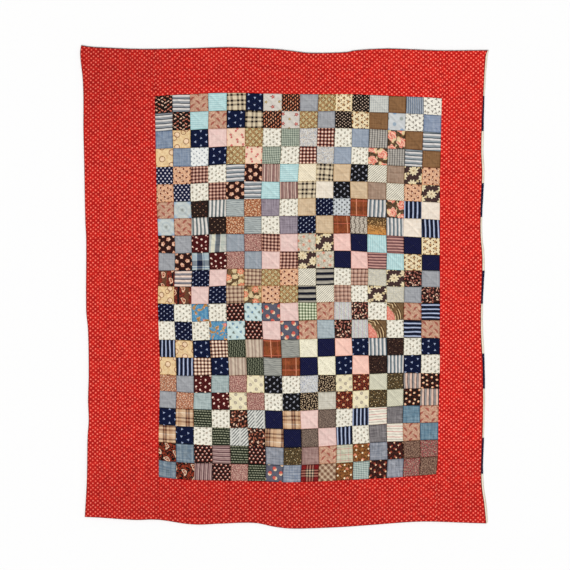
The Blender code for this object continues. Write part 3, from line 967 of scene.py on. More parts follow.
named("tan_soft_stripe", striped(31, [(7, (184, 162, 148)), (4, (208, 190, 172)),
                                      (6, (222, 206, 188)), (4, (200, 182, 165)),
                                      (3, (168, 146, 132)), (7, (212, 196, 178))], soft=4))
named("bluegrey_stripe", striped(9.5, [(3.4, (160, 172, 188)), (2.2, (62, 74, 96)),
                                       (1.8, (146, 158, 174)), (1.1, (226, 226, 224)),
                                       (1.0, (100, 112, 130))]))


def combed(light, dark, mid, period):
    """Fine uneven lines across the cloth."""
    def draw(k):
        wob = k.noise(16, 1.0, stretch=(1, .3)) * 3.2
        base = k.stripes(k.v + wob, period, [(3.4, rgb(*light)), (2.3, rgb(*dark)),
                                             (3.4, rgb(*mid))], soft=0.8)
        gap = k.step(k.noise(7, 0, stretch=(.2, 1), seed=46), 0.42, 0.5)
        return k.over(base, (rgb(*light), gap * 0.45))
    return draw


named("greyteal_lines", combed((190, 196, 194), (112, 120, 126), (178, 186, 186), 9.2))
named("greygreen_lines", combed((180, 180, 172), (104, 106, 108), (164, 166, 160), 8.6))


@fabric("cream_pinkstripe")
def _(k):
    wob = k.noise(12, 1.0, stretch=(1, .2)) * 3.0
    q = k.v + wob
    return k.stripes(q, 23.0, [(7.6, rgb(242, 236, 222)), (3.0, rgb(222, 166, 160)),
                               (9.4, rgb(240, 234, 220)), (3.0, rgb(190, 184, 174))], soft=1.2)


@fabric("herringbone")
def _(k):
    q = (k.v - k.u * 1.1) * 0.72
    bars = k.step(k.noise(6, 1, seed=63), 0.22, 0.40)
    base = k.stripes(q, 10.6, [(5.4, rgb(228, 228, 222)), (4.0, rgb(122, 126, 124)),
                               (1.2, rgb(190, 191, 188))], soft=1.2)
    base = k.over(base, (rgb(206, 207, 202), (1.0 - bars) * 0.5))
    return k.over(base, (rgb(222, 222, 216), k.band(k.u, 38.0, 8.0, 1.6) * 0.85),
                  (rgb(176, 178, 174), k.band(k.u, 38.0, 1.6, 0.8) * k.band(k.v, 9.0, 4.4) * 0.7))


@fabric("cream_dashes")
def _(k):
    a, b = (k.u + k.v) * 0.7071, (k.u - k.v) * 0.7071
    dash = k.band(b, 7.6, 2.6) * k.band(a, 6.4, 4.6)
    return k.over(rgb(244, 238, 222), (rgb(92, 92, 76), dash * 0.95))


@fabric("pale_cream_green")
def _(k):
    a, b = (k.u + k.v) * 0.7071, (k.u - k.v) * 0.7071
    return k.over(rgb(236, 233, 214), (rgb(172, 170, 146), k.band(a, 5.2, 2.2) * 0.6),
                  (rgb(158, 158, 134), k.band(a, 5.2, 2.0) * k.band(b, 5.2, 2.2) * 0.8))


# --- checks and plaids
def gingham(period, light, mid, dark, soft=0.7, wide=0.5, pv=None):
    def draw(k):
        a = k.band(k.u, period, period * wide, soft)
        b = k.band(k.v, pv or period, (pv or period) * wide, soft)
        one = k.blend(rgb(*light), rgb(*mid), k.math("MAXIMUM", a, b))
        return k.blend(one, rgb(*dark), a * b)
    return draw


named("gingham_maroon", gingham(15.2, (252, 226, 208), (152, 88, 76), (40, 12, 13), wide=0.52))
named("gingham_tan", gingham(15.0, (234, 198, 178), (162, 114, 102), (72, 34, 30), wide=0.52))
named("gingham_tan_dark", gingham(15.2, (252, 234, 212), (174, 132, 114), (50, 16, 16), wide=0.48))
named("sage_check", gingham(7.6, (212, 216, 200), (150, 162, 148), (74, 88, 82), wide=0.48))
named("sage_gingham", gingham(12.4, (236, 238, 214), (164, 174, 142), (84, 100, 72), wide=0.48))
named("greyaqua_check", gingham(7.8, (208, 218, 210), (162, 176, 172), (108, 126, 126), wide=0.42))
named("greyblue_check", gingham(7.4, (222, 222, 214), (204, 206, 202), (172, 178, 180), wide=0.45))
named("greyblue_fine", gingham(6.2, (200, 210, 212), (174, 186, 192), (142, 156, 166), wide=0.42))


def plaid(pu, warp, pv, weft, soft=0.7, share_=0.5):
    """Warp and weft stripes woven together; where both are dark the cloth is darkest."""
    warp, weft = [(w, rgb(*c)) for w, c in warp], [(w, rgb(*c)) for w, c in weft]

    def draw(k):
        a, b = k.stripes(k.u, pu, warp, soft), k.stripes(k.v, pv, weft, soft)
        mixed = k.blend(a, b, share_)
        return k.blend(mixed, k.blend(a, b, 1.0, "MULTIPLY"), 0.35)
    return draw


named("grey_cross", plaid(10.6, [(4.6, (206, 202, 196)), (3.4, (84, 80, 84)), (2.6, (222, 216, 206))],
                          8.4, [(4, (194, 190, 184)), (2.2, (104, 100, 102)), (2.2, (214, 208, 198))], share_=0.35))
named("plaid_greenblue", plaid(76, [(14, (214, 214, 210)), (3, (176, 184, 190)), (17, (240, 236, 216)),
                                    (3, (150, 162, 174)), (19, (66, 78, 98)), (3, (250, 246, 236)),
                                    (17, (206, 212, 204))],
                               38, [(12, (226, 226, 218)), (3, (176, 186, 190)),
                                    (14, (220, 222, 216)), (3, (246, 242, 232))], share_=0.3))
named("plaid_navyblock", plaid(76, [(20, (204, 214, 214)), (3, (246, 248, 242)), (5, (88, 108, 132)),
                                    (20, (14, 28, 64)), (4, (226, 232, 228)), (4, (120, 142, 162)),
                                    (20, (206, 216, 216))],
                               76, [(10, (208, 218, 218)), (3, (248, 250, 248)), (8, (120, 146, 174)),
                                    (3, (248, 250, 248)), (26, (40, 60, 96)), (3, (228, 236, 240)),
                                    (23, (176, 196, 212))], share_=0.40))
named("tan_plaid_soft", plaid(17.6, [(6.0, (232, 212, 188)), (6.8, (138, 100, 84)), (4.8, (206, 182, 160))],
                              18.4, [(6, (230, 210, 186)), (6.4, (132, 92, 78)), (3, (206, 180, 158)),
                                     (3.0, (232, 214, 194))], soft=1.2))
named("tan_redplaid", plaid(17.6, [(8, (228, 200, 184)), (4.8, (126, 80, 72)), (4.8, (202, 168, 150))],
                            18.4, [(8, (228, 200, 184)), (4.8, (112, 66, 58)), (5.6, (196, 160, 142))], soft=1.0))
named("tan_brown_plaid", plaid(62, [(18, (236, 212, 186)), (8.0, (112, 56, 34)), (3.0, (210, 166, 130)),
                                    (7.6, (104, 48, 32)), (12, (228, 200, 170)), (3.6, (172, 128, 98)),
                                    (9.8, (216, 184, 152))],
                               56, [(9, (236, 212, 186)), (3.6, (255, 250, 238)), (12, (222, 192, 160)),
                                    (8.2, (150, 104, 76)), (8, (232, 208, 180)), (6.8, (112, 64, 44)),
                                    (8.4, (226, 198, 168))], share_=0.46))
named("tartan_red", plaid(80, [(22, (156, 22, 28)), (4, (34, 12, 16)), (5, (230, 206, 180)),
                               (6, (28, 18, 22)), (6, (230, 206, 180)), (6, (28, 18, 22)),
                               (5, (230, 206, 180)), (4, (34, 12, 16)), (22, (156, 22, 28))],
                          80, [(22, (156, 22, 28)), (4, (34, 12, 16)), (5, (230, 206, 180)),
                               (6, (36, 20, 24)), (6, (230, 206, 180)), (6, (36, 20, 24)),
                               (5, (230, 206, 180)), (4, (34, 12, 16)), (22, (156, 22, 28))]))
named("greycream_pinkplaid", plaid(38, [(12, (222, 222, 202)), (1.8, (176, 168, 152)), (14, (224, 222, 206)),
                                        (2.6, (222, 176, 168)), (9, (214, 214, 196))],
                                   25, [(9, (224, 222, 204)), (3.8, (218, 160, 152)), (5, (222, 218, 200)),
                                        (2.6, (160, 162, 142)), (6, (228, 226, 210))], soft=1.0))


@fabric("diag_plaid")
def _(k):
    a, b = (k.u + k.v) * 0.7071, (k.u - k.v) * 0.7071
    p, q = k.band(a, 19.0, 7.0, 1.2), k.band(b, 19.0, 7.0, 1.2)
    base = k.over(rgb(196, 168, 142), (rgb(136, 100, 80), p * 0.8), (rgb(136, 100, 80), q * 0.7))
    return k.over(base, (rgb(104, 72, 58), p * q * 0.35),
                  (rgb(228, 212, 188), k.band(a, 19.0, 2.2, shift=9.5) * 0.8),
                  (rgb(228, 212, 188), k.band(b, 19.0, 2.2, shift=9.5) * 0.5))


@fabric("windowpane_beige")
def _(k):
    a = k.most(k.band(k.u, 42, 9.4), k.band(k.u, 42, 8.6, shift=17))
    b = k.most(k.band(k.v, 44, 9.0), k.band(k.v, 44, 8.2, shift=18))
    base = k.over(rgb(228, 214, 186), (rgb(158, 142, 122), a * 0.8), (rgb(150, 134, 114), b * 0.8))
    return k.over(base, (rgb(22, 12, 12), a * b))


@fabric("rust_plaid")
def _(k):
    base = k.blend(k.stripes(k.u, 60, [(22, rgb(164, 92, 56)), (12, rgb(132, 70, 38)), (14, rgb(158, 84, 52)),
                                       (12, rgb(146, 88, 44))], soft=5),
                   k.stripes(k.v, 54, [(18, rgb(158, 88, 52)), (18, rgb(118, 64, 38)), (18, rgb(166, 92, 54))], soft=5),
                   0.5)
    hatch = k.noise(2.6, 0, stretch=(1, .2), seed=47)
    base = k.over(base, (rgb(112, 54, 30), k.step(hatch, 0.5, 0.62) * 0.5))
    return k.over(base, (rgb(240, 172, 142), k.band(k.u, 74, 3.6, shift=36) * 0.8),
                  (rgb(214, 120, 96), k.band(k.v, 62, 3.2, shift=17) * 0.7),
                  (rgb(214, 124, 98), k.band(k.u, 74, 2.0, shift=6) * 0.5))


# --- small prints
@fabric("cream_sprig")
def _(k):
    x, y, r = k.lattice(14.4, 20.6, 0.5, 0.26, 1)
    x, y = k.turn(x, y, k.step(r[2], 0.4, 0.6) * 1.9 + (r[1] - 0.5) * 1.2 - 0.2)
    y = k.math("MULTIPLY_ADD", x * x, 0.05, y)
    m = k.most(k.leaf(x, y - 1.2, 6.2, 3.6), k.leaf(x - 0.8, y + 2.8, 4.4, 2.6))
    a, b, q = k.lattice(14.4, 20.6, 0.5, 0.3, 6)
    dot = k.disc(a, b, 1.9, 0.6) * 0.7
    tint = k.blend(rgb(104, 106, 86), rgb(146, 122, 100), r[0])
    return k.over(rgb(246, 242, 229), (tint, m * 0.86), (rgb(150, 136, 118), dot))


@fabric("cream_sprig_brown")
def _(k):
    x, y, r = k.lattice(15.0, 21.0, 0.5, 0.24, 2)
    m = k.sprig(x, y, 13.0, r[2] * 6.28)
    return k.over(rgb(247, 243, 232), (rgb(116, 104, 96), m * 0.88))


@fabric("cream_blue_sprig")
def _(k):
    x, y, r = k.lattice(11.6, 20.0, 0.5, 0.14, 3)
    return k.over(rgb(240, 242, 240), (rgb(122, 132, 148), k.sprig(x, y, 8.6, r[2] * 6.28) * 0.85))


@fabric("cream_speckle")
def _(k):
    x, y, d, r = k.scatter(8.4, 1.0, 1)
    tint = k.blend(rgb(170, 150, 112), rgb(150, 152, 124), r[0])
    return k.over(rgb(247, 242, 220), (tint, k.within(d, 1.2, 0.8) * 0.75))


@fabric("lightgrey_speckle")
def _(k):
    x, y, d, r = k.scatter(7.0, 1.0, 2)
    tint = k.blend(rgb(150, 160, 184), rgb(196, 190, 172), r[0])
    return k.over(rgb(216, 216, 216), (tint, k.within(d, 2.3, 0.8) * 0.85))


@fabric("grey_speckle")
def _(k):
    x, y, d, r = k.scatter(6.4, 1.0, 3)
    tint = k.blend(rgb(140, 150, 172), rgb(214, 192, 162), r[0])
    return k.over(rgb(218, 216, 212), (tint, k.within(d, 2.1, 0.7) * 0.85))


@fabric("navy_sprig", specular=0.12)
def _(k):
    x, y, r = k.lattice(25.0, 29.5, 0.5, 0.10, 4)
    m = k.sprig(x, y, 9.8, r[2] * 6.28)
    return k.over(rgb(8, 24, 62), (rgb(180, 192, 218), k.most(m, k.disc(x, y, 2.6, 0.8) * 0.85)))


@fabric("navy_small_sprig", specular=0.12)
def _(k):
    x, y, r = k.lattice(13.4, 21.0, 0.5, 0.14, 5)
    x, y = k.turn(x, y, k.step(r[2], 0.3, 0.7) * 1.1 - 1.1)
    return k.over(rgb(9, 18, 54), (rgb(192, 200, 220), k.leaf(x, y, 4.5, 3.1)),
                  (rgb(100, 114, 154), k.leaf(x + 1.6, y - 3.0, 2.7, 2.0)))


@fabric("navy_dense_sprig", specular=0.12)
def _(k):
    x, y, r = k.lattice(12.0, 20.6, 0.5, 0.16, 6)
    x, y = k.turn(x, y, (r[2] - 0.5) * 0.8 - 0.9)
    return k.over(rgb(9, 18, 54), (rgb(186, 196, 216), k.most(k.leaf(x, y, 4.2, 3.2), k.leaf(y, x + 2, 3.0, 2.2))))


@fabric("navy_polka", specular=0.12)
def _(k):
    x, y, r = k.lattice(9.2, 23.0, 0.5, 0.05, 7)
    ragged = k.radius(x, y) + k.noise(3.0, 1) * 2.0 - 1.0
    return k.over(rgb(22, 28, 66), (rgb(214, 212, 220), k.within(ragged, 3.6, 0.7)))


@fabric("navy_fine", specular=0.12)
def _(k):
    a, b = (k.u + k.v) * 0.7071, (k.u - k.v) * 0.7071
    m = k.most(k.band(a, 6.6, 1.3, 0.7), k.band(b, 6.6, 1.3, 0.7))
    return k.over(rgb(9, 11, 55), (rgb(48, 52, 104), m * 0.45), (rgb(84, 88, 136), k.band(a, 6.6, 1.5) * k.band(b, 6.6, 1.5) * 0.7))


@fabric("aqua_sprigs")
def _(k):
    x, y, r = k.lattice(16.0, 38.0, 0.5, 0.12, 8)
    m = k.sprig(x, y, 13.0, r[2] * 6.28)
    tint = k.blend(rgb(108, 114, 106), rgb(104, 140, 172), k.step(r[0], 0.5, 0.6))
    return k.over(rgb(212, 230, 230), (rgb(176, 196, 196), k.disc(x, y, 6.4, 1.8) * 0.6),
                  (tint, k.most(m, k.disc(x, y, 3.6, 1.0)) * 0.85), (rgb(178, 184, 158), k.disc(x - 7, y + 6, 2.2, 1) * 0.8))


@fabric("lightblue_motifs")
def _(k):
    x, y, r = k.lattice(11.6, 20.0, 0.5, 0.1, 9)
    tint = k.blend(rgb(30, 34, 50), rgb(104, 104, 90), k.step(r[0], 0.6, 0.7))
    thin = k.within(k.near(k.u, 23.2), 1.0, 0.5) * 0.5
    return k.over(rgb(214, 218, 220), (rgb(122, 132, 146), thin), (tint, k.petals(x, y, 5.0, 5, 0.3) * 0.95))


@fabric("black_flecks", specular=0.12)
def _(k):
    x, y, r = k.lattice(12.6, 25, 0.5, 0.2, 44)
    tint = k.blend(rgb(196, 168, 138), rgb(170, 104, 84), r[0])
    return k.over(rgb(44, 28, 24), (rgb(70, 50, 42), k.step(k.noise(5, 1), 0.5, 0.6) * 0.6),
                  (tint, k.oval(x, y, 2.5, 1.8) * 0.85))


@fabric("darkbrown_flecks", specular=0.12)
def _(k):
    x, y, d, r = k.scatter(14, 0.9, 5)
    return k.over(rgb(50, 32, 28), (rgb(84, 58, 50), k.step(k.noise(8, 1), 0.5, 0.62) * 0.6),
                  (rgb(176, 142, 114), k.within(d, 1.6, 0.6) * r[1]))


@fabric("black_creamdots", specular=0.12)
def _(k):
    x, y, r = k.lattice(8.6, 14.6, 0.5, 0.34, 45)
    ragged = k.radius(x, y) + k.noise(3.2, 1) * 2.4 - 1.2
    return k.over(rgb(30, 20, 18), (rgb(112, 84, 70), k.within(ragged, 3.4, 0.6) * 0.7),
                  (rgb(234, 212, 190), k.within(ragged, 2.0, 0.5)))


@fabric("brown_creamdots", specular=0.12)
def _(k):
    x, y, d, r = k.scatter(7.6, 0.75, 7)
    return k.over(rgb(36, 22, 17), (rgb(112, 80, 58), k.within(d, 2.7, 0.6) * 0.6),
                  (rgb(236, 214, 180), k.within(d, 1.7, 0.5)))


@fabric("squiggle_black", specular=0.12)
def _(k):
    x, y, r = k.lattice(12.6, 18.0, 0.5, 0.26, 46)
    x, y = k.turn(x, y, k.step(r[2], 0.45, 0.55) * 1.0 - 0.3)
    y = k.math("MULTIPLY_ADD", x * x, 0.07, y)
    tint = k.blend(rgb(240, 206, 184), rgb(212, 138, 116), k.step(r[0], 0.42, 0.52))
    return k.over(rgb(30, 19, 16), (rgb(112, 56, 44), k.oval(x - 1.0, y + 1.5, 5.6, 2.7)),
                  (tint, k.most(k.oval(x, y, 5.4, 2.1), k.disc(x - 4.6, y - 3.0, 1.5))))


@fabric("black_commas", specular=0.12)
def _(k):
    x, y, r = k.lattice(16.0, 25.0, 0.5, 0.16, 10)
    x, y = k.turn(x, y, k.step(r[2], 0.45, 0.55) * 1.5 - 0.8)
    m = k.most(k.oval(x - 0.5, y - 1.7, 5.8, 1.6), k.oval(x + 0.9, y + 1.8, 3.8, 1.3) * 0.75)
    return k.over(rgb(20, 19, 25), (rgb(182, 184, 196), m * 0.92))


@fabric("brown_commas", specular=0.12)
def _(k):
    x, y, r = k.lattice(9.4, 17.0, 0.5, 0.16, 47)
    x, y = k.turn(x, y, (r[2] - 0.5) * 1.0 + 0.2)
    x = k.math("MULTIPLY_ADD", y * y, 0.05, x)
    tint = k.blend(rgb(216, 128, 92), rgb(248, 196, 160), r[0])
    return k.over(rgb(50, 24, 20), (rgb(128, 62, 44), k.oval(x + 0.9, y, 3.1, 6.0, 0.2) * 0.8),
                  (tint, k.oval(x, y, 2.0, 5.0, 0.2)))


@fabric("brown_buds", specular=0.12)
def _(k):
    x, y, r = k.lattice(24.0, 36.0, 0.5, 0.16, 11)
    x, y = k.turn(x, y, r[2] * 6.28)
    bud = k.petals(x, y * 1.24, 10.6, 5, 0.12, 0.8)
    fold = k.within(k.math("ABSOLUTE", k.radius(x - 1, y) - 4.4), 0.6, 0.6)
    sx, sy, q = k.lattice(24.0, 36.0, 0.5, 0.2, 48, u=k.u + 12, v=k.v + 9)
    return k.over(rgb(56, 24, 21), (rgb(118, 58, 46), k.oval(x - 3, y + 3, 10.0, 7.6, 0.09) * 0.6),
                  (rgb(196, 124, 100), k.disc(sx, sy, 1.8) * k.step(q[0], 0.35, 0.4)),
                  (rgb(238, 190, 160), bud), (rgb(255, 226, 206), k.oval(x + 2.2, y - 1.6, 5.0, 3.4) * 0.85),
                  (rgb(176, 96, 76), fold * 0.5), (rgb(140, 62, 52), k.disc(x - 1.6, y + 0.5, 2.0)))


@fabric("maroon_flecks", specular=0.12)
def _(k):
    x, y, r = k.lattice(20, 29, 0.5, 0.26, 12)
    x, y = k.turn(x, y, r[2] * 6.28)
    x2, y2, q = k.lattice(20, 29, 0.5, 0.3, 13, u=k.u + 10, v=k.v + 8)
    return k.over(rgb(84, 22, 24), (rgb(176, 88, 78), k.disc(x - 4.2, y + 2.8, 1.7)),
                  (rgb(250, 224, 210), k.oval(x, y, 5.0, 3.6)),
                  (rgb(222, 166, 152), k.oval(x2, y2, 2.6, 1.9) * k.step(q[2], 0.3, 0.4)))


@fabric("rust_creamspots")
def _(k):
    x, y, r = k.lattice(20.5, 32.0, 0.5, 0.24, 14)
    x, y = k.turn(x, y, r[2] * 6.28)
    _, _, d, q = k.scatter(8.6, 0.9, 10)
    return k.over(rgb(108, 38, 26), (rgb(58, 18, 16), k.step(k.noise(7, 1), 0.5, 0.58) * 0.7),
                  (rgb(216, 116, 70), k.within(d, 1.4, 0.5)),
                  (rgb(252, 212, 166), k.petals(x, y, 5.4, 4, 0.2)), (rgb(176, 78, 48), k.disc(x, y, 1.8)))


@fabric("black_orangespots", specular=0.12)
def _(k):
    x, y, r = k.lattice(19.0, 25.0, 0.5, 0.28, 15)
    x, y = k.turn(x, y, r[2] * 6.28)
    tint = k.blend(rgb(250, 214, 180), rgb(204, 116, 80), k.step(x, 0.0, 4.5))
    return k.over(rgb(30, 18, 16), (rgb(116, 56, 42), k.step(k.noise(6, 1), 0.55, 0.61) * 0.6),
                  (tint, k.oval(x, y, 5.9, 4.3)))


@fabric("dusty_rose")
def _(k):
    a = k.noise(5.0, 1.0, seed=6)
    x, y, d, r = k.scatter(5.6, 1.0, 11)
    return k.over(rgb(178, 130, 122), (rgb(226, 196, 178), k.within(d, 1.7, 0.6)),
                  (rgb(136, 82, 80), k.step(a, 0.52, 0.60) * 0.85))


@fabric("mauve_rose_speckle")
def _(k):
    a = k.noise(5.6, 1.0, seed=7)
    x, y, d, r = k.scatter(6.4, 1.0, 12)
    return k.over(rgb(158, 116, 106), (rgb(218, 188, 168), k.within(d, 2.0, 0.6) * 0.9),
                  (rgb(158, 46, 66), k.step(a, 0.52, 0.60) * 0.85),
                  (rgb(84, 62, 58), k.step(a, 0.46, 0.37) * 0.75))


@fabric("taupe_brown_speckle")
def _(k):
    a = k.noise(5.6, 1.0, seed=8)
    x, y, d, r = k.scatter(6.4, 1.0, 13)
    return k.over(rgb(134, 104, 90), (rgb(184, 154, 132), k.within(d, 2.0, 0.7) * 0.8),
                  (rgb(84, 54, 46), k.step(a, 0.52, 0.60) * 0.85))


@fabric("taupe_speckle")
def _(k):
    x, y, d, r = k.scatter(5.0, 1.0, 14)
    return k.over(rgb(126, 108, 98), (rgb(174, 154, 138), k.within(d, 1.4, 0.5) * 0.85),
                  (rgb(84, 70, 64), k.step(k.noise(5, 1, seed=9), 0.53, 0.6) * 0.8))


@fabric("olive_speckle")
def _(k):
    x, y, d, r = k.scatter(7.4, 0.9, 15)
    x2, y2, d2, r2 = k.scatter(15, 0.8, 16)
    tint = k.blend(rgb(128, 112, 74), rgb(172, 134, 84), r[0])
    return k.over(rgb(88, 74, 48), (rgb(50, 38, 26), k.step(k.noise(7, 1, seed=10), 0.50, 0.58) * 0.8),
                  (tint, k.within(d, 1.7, 0.6) * 0.75), (rgb(230, 214, 176), k.within(d2, 1.8, 0.5) * 0.85))


@fabric("orange_speckle")
def _(k):
    x, y, d, r = k.scatter(9.4, 0.9, 17)
    x2, y2, d2, r2 = k.scatter(6.8, 1.0, 18)
    return k.over(rgb(204, 148, 118), (rgb(158, 98, 72), k.step(k.noise(6, 1, seed=11), 0.5, 0.58) * 0.7),
                  (rgb(104, 84, 84), k.within(d2, 1.5, 0.5) * 0.85), (rgb(246, 222, 198), k.within(d, 1.9, 0.6) * 0.9))


@fabric("orange_floral")
def _(k):
    x, y, d, r = k.scatter(9.6, 0.9, 55)
    x2, y2, d2, r2 = k.scatter(7.0, 1.0, 19)
    return k.over(rgb(194, 134, 98), (rgb(150, 86, 58), k.step(k.noise(7, 1, seed=12), 0.5, 0.58) * 0.75),
                  (rgb(102, 58, 44), k.within(d2, 1.6, 0.5) * 0.8),
                  (rgb(246, 216, 182), k.petals(x, y, 2.9, 5, 0.25)))


@fabric("sprig_rosetan")
def _(k):
    # Feathery leaves leaning by turns to either side, on a tan ground with a pale trellis.
    x, y, r = k.lattice(24.0, 32.0, 0.5, 0.08, 17)
    col = k.math("FLOOR", k.u / 24.0 + (17 * 0.37 + 200))
    x, y = k.turn(x, y, k.math("PINGPONG", col, 1.0) * 1.62 - 0.80)
    y = k.math("MULTIPLY_ADD", x * x, 0.018, y)
    m = k.leaf(x, y, 13.6, 8.6)
    vein = k.band(x + k.math("ABSOLUTE", y) * 0.9, 3.6, 1.3)
    veil = k.within(k.math("ABSOLUTE", k.noise(13, 1.2, seed=50) - 0.5), 0.05, 0.03)
    return k.over(rgb(202, 161, 138), (rgb(230, 197, 172), veil * 0.7),
                  (rgb(178, 122, 104), k.step(k.noise(8, 1, seed=51), 0.56, 0.64) * 0.4),
                  (rgb(156, 76, 68), m * 0.9), (rgb(204, 136, 116), m * vein * 0.75))


@fabric("khaki_floral")
def _(k):
    x, y, r = k.lattice(13.4, 26.0, 0.5, 0.12, 19)
    x, y = k.turn(x, y, (r[2] - 0.5) * 0.9)
    twig = k.within(k.math("ABSOLUTE", k.noise(10, 1.2, seed=65) - 0.5), 0.035, 0.025)
    return k.over(rgb(194, 158, 112), (rgb(148, 112, 72), k.step(k.noise(8, 1, seed=13), 0.53, 0.60) * 0.55),
                  (rgb(112, 76, 48), twig * 0.7), (rgb(122, 90, 58), k.oval(x, y, 6.8, 8.4, 0.14) * 0.7),
                  (rgb(220, 208, 164), k.petals(x, y * 0.84, 6.6, 4, 0.2, 1.0)), (rgb(160, 130, 86), k.disc(x, y, 1.8)))


@fabric("grey_redflower")
def _(k):
    x, y, r = k.lattice(57, 42, 0.0, 0.05, 20)
    x2, y2, r2 = k.lattice(57, 42, 0.0, 0.05, 20, u=k.u + 28.5, v=k.v + 21)
    x, y = k.turn(x, y, r[2] * 6.28)
    small, sy, q = k.lattice(14, 21, 0.5, 0.2, 49)
    return k.over(rgb(222, 216, 208), (rgb(150, 150, 140), k.disc(small, sy, 1.2) * 0.7),
                  (rgb(126, 126, 96), k.leaf(x - 8, y, 6.5, 4.2) * 0.8),
                  (rgb(150, 136, 96), k.petals(x2, y2, 7.0, 5, 0.24)), (rgb(206, 176, 118), k.disc(x2, y2, 3.4)),
                  (rgb(178, 92, 92), k.petals(x, y, 8.6, 5, 0.2)), (rgb(226, 160, 146), k.disc(x, y, 3.2)))


@fabric("greybeige_orangefloral")
def _(k):
    x, y, r = k.lattice(25, 34, 0.5, 0.24, 22)
    x, y = k.turn(x, y, r[2] * 6.28)
    soft = k.step(k.noise(10, 1, seed=15), 0.48, 0.58)
    stem = k.within(k.math("ABSOLUTE", k.noise(17, 1, seed=52) - 0.5), 0.03, 0.02)
    return k.over(rgb(224, 215, 198), (rgb(196, 190, 172), soft * 0.7), (rgb(150, 142, 124), stem * 0.55),
                  (rgb(156, 152, 132), k.leaf(x - 8.0, y + 2, 6.6, 5.0) * 0.7),
                  (rgb(230, 176, 152), k.petals(x, y, 7.8, 5, 0.24, 2.2)), (rgb(208, 132, 112), k.disc(x, y, 3.0, 1.6) * 0.75))


@fabric("peach_redsprig")
def _(k):
    x, y, r = k.lattice(23, 44, 0.5, 0.14, 23)
    x, y = k.turn(x, y, (r[2] - 0.5) * 1.2)
    flower = k.most(k.petals(x, y - 5.5, 6.2, 5, 0.22), k.petals(x + 2.5, y + 5.5, 5.2, 5, 0.22))
    stem = k.leaf(y + 1, x, 10, 2.6)
    return k.over(rgb(246, 218, 196), (rgb(170, 146, 112), stem * 0.7),
                  (rgb(204, 96, 100), flower), (rgb(236, 164, 152), k.disc(x, y - 5.5, 2.0)))


@fabric("peach_dotsrings")
def _(k):
    x, y, r = k.lattice(15.4, 26.0, 0.5, 0.24, 24)
    x2, y2, r2 = k.lattice(19.0, 29.0, 0.5, 0.26, 25)
    x, y = k.turn(x, y, (r[2] - 0.5) * 2)
    return k.over(rgb(236, 194, 162), (rgb(212, 154, 118), k.step(k.noise(9, 1, seed=16), 0.5, 0.58) * 0.5),
                  (rgb(150, 84, 62), k.ring(x2, y2, 4.6, 1.7)), (rgb(246, 216, 190), k.disc(x2, y2, 3.0)),
                  (rgb(112, 48, 34), k.oval(x, y, 3.6, 4.4)))


@fabric("cream_browndots")
def _(k):
    x, y, r = k.lattice(13.4, 17.0, 0.5, 0.15, 26)
    x2, y2, r2 = k.lattice(22.0, 29.0, 0.5, 0.12, 27)
    return k.over(rgb(245, 229, 194), (rgb(160, 114, 70), k.petals(x2, y2, 8.6, 5, 0.3)),
                  (rgb(206, 166, 112), k.petals(x2, y2, 3.6, 5, 0.34, phase=3.1)),
                  (rgb(104, 58, 42), k.disc(x, y, 2.9)))


@fabric("creamyellow_rings")
def _(k):
    x, y, r = k.lattice(23.0, 37.0, 0.5, 0.14, 28)
    small, sy, q = k.lattice(23, 37, 0.5, 0.2, 28, u=k.u + 11.5, v=k.v + 9)
    wobble = (k.noise(4, 1, seed=62) - 0.5) * 2.4
    around = k.within(k.math("ABSOLUTE", k.radius(x, y) + wobble - 5.2), 1.0, 0.6)
    return k.over(rgb(243, 233, 202), (rgb(220, 211, 188), k.disc(x, y, 7.6, 1.4) * 0.7),
                  (rgb(124, 104, 112), around * 0.9), (rgb(140, 114, 98), k.disc(x, y, 1.5)),
                  (rgb(196, 178, 146), k.disc(small, sy, 2.0, 0.9) * 0.7))


@fabric("wheat_rings")
def _(k):
    x, y, r = k.lattice(40, 52, 0.5, 0.14, 29)
    one = k.ring(x - 3, y - 4, 11.6, 3.0, 0.8)
    two = k.ring(x + 9, y + 9, 9.8, 2.8, 0.8) * k.step(r[2], 0.35, 0.45)
    broken = k.step(k.noise(3.4, 1, seed=17), 0.26, 0.38)
    return k.over(rgb(242, 216, 174), (rgb(228, 194, 148), k.step(k.noise(11, 2, seed=18), 0.48, 0.60) * 0.7),
                  (rgb(248, 220, 192), k.disc(x - 3, y - 4, 9.0, 3.0) * 0.8),
                  (rgb(142, 84, 54), k.most(one, two) * broken * 0.92))


@fabric("blue_blobs")
def _(k):
    x, y, r = k.lattice(31, 51, 0.5, 0.06, 50)
    tint = k.blend(rgb(154, 178, 204), rgb(168, 176, 172), k.step(r[0], 0.6, 0.66))
    return k.over(rgb(212, 215, 217), (tint, k.disc(x, y, 8.2, 2.6) * 0.95))


@fabric("slate_buds")
def _(k):
    x, y, r = k.lattice(24.5, 43.0, 0.5, 0.20, 30)
    x, y = k.turn(x, y, (r[2] - 0.5) * 2.6 + 1.1)
    tint = k.blend(rgb(214, 108, 96), rgb(246, 228, 194), k.step(x, -0.5, 4.6))
    return k.over(rgb(100, 100, 116), (rgb(126, 126, 138), k.step(k.noise(3, 1), 0.5, 0.6) * 0.6),
                  (rgb(66, 62, 74), k.oval(x + 1.5, y + 1.5, 11.2, 8.4, 0.10) * 0.6),
                  (tint, k.oval(x, y, 10.6, 7.8, 0.12)), (rgb(232, 148, 126), k.oval(x - 3.0, y, 4.2, 3.6) * 0.6))


@fabric("brown_pinkdots", specular=0.12)
def _(k):
    x, y, r = k.lattice(9.2, 27.0, 0.5, 0.16, 31)
    x, y = k.turn(x, y, 0.5 + (r[2] - 0.5) * 1.2)
    cap = k.oval(x - 0.4, y - 1.6, 3.2, 2.5)
    cup = k.oval(x, y + 1.8, 3.9, 3.4)
    return k.over(rgb(52, 20, 18), (rgb(172, 98, 84), cup), (rgb(244, 204, 188), cap))


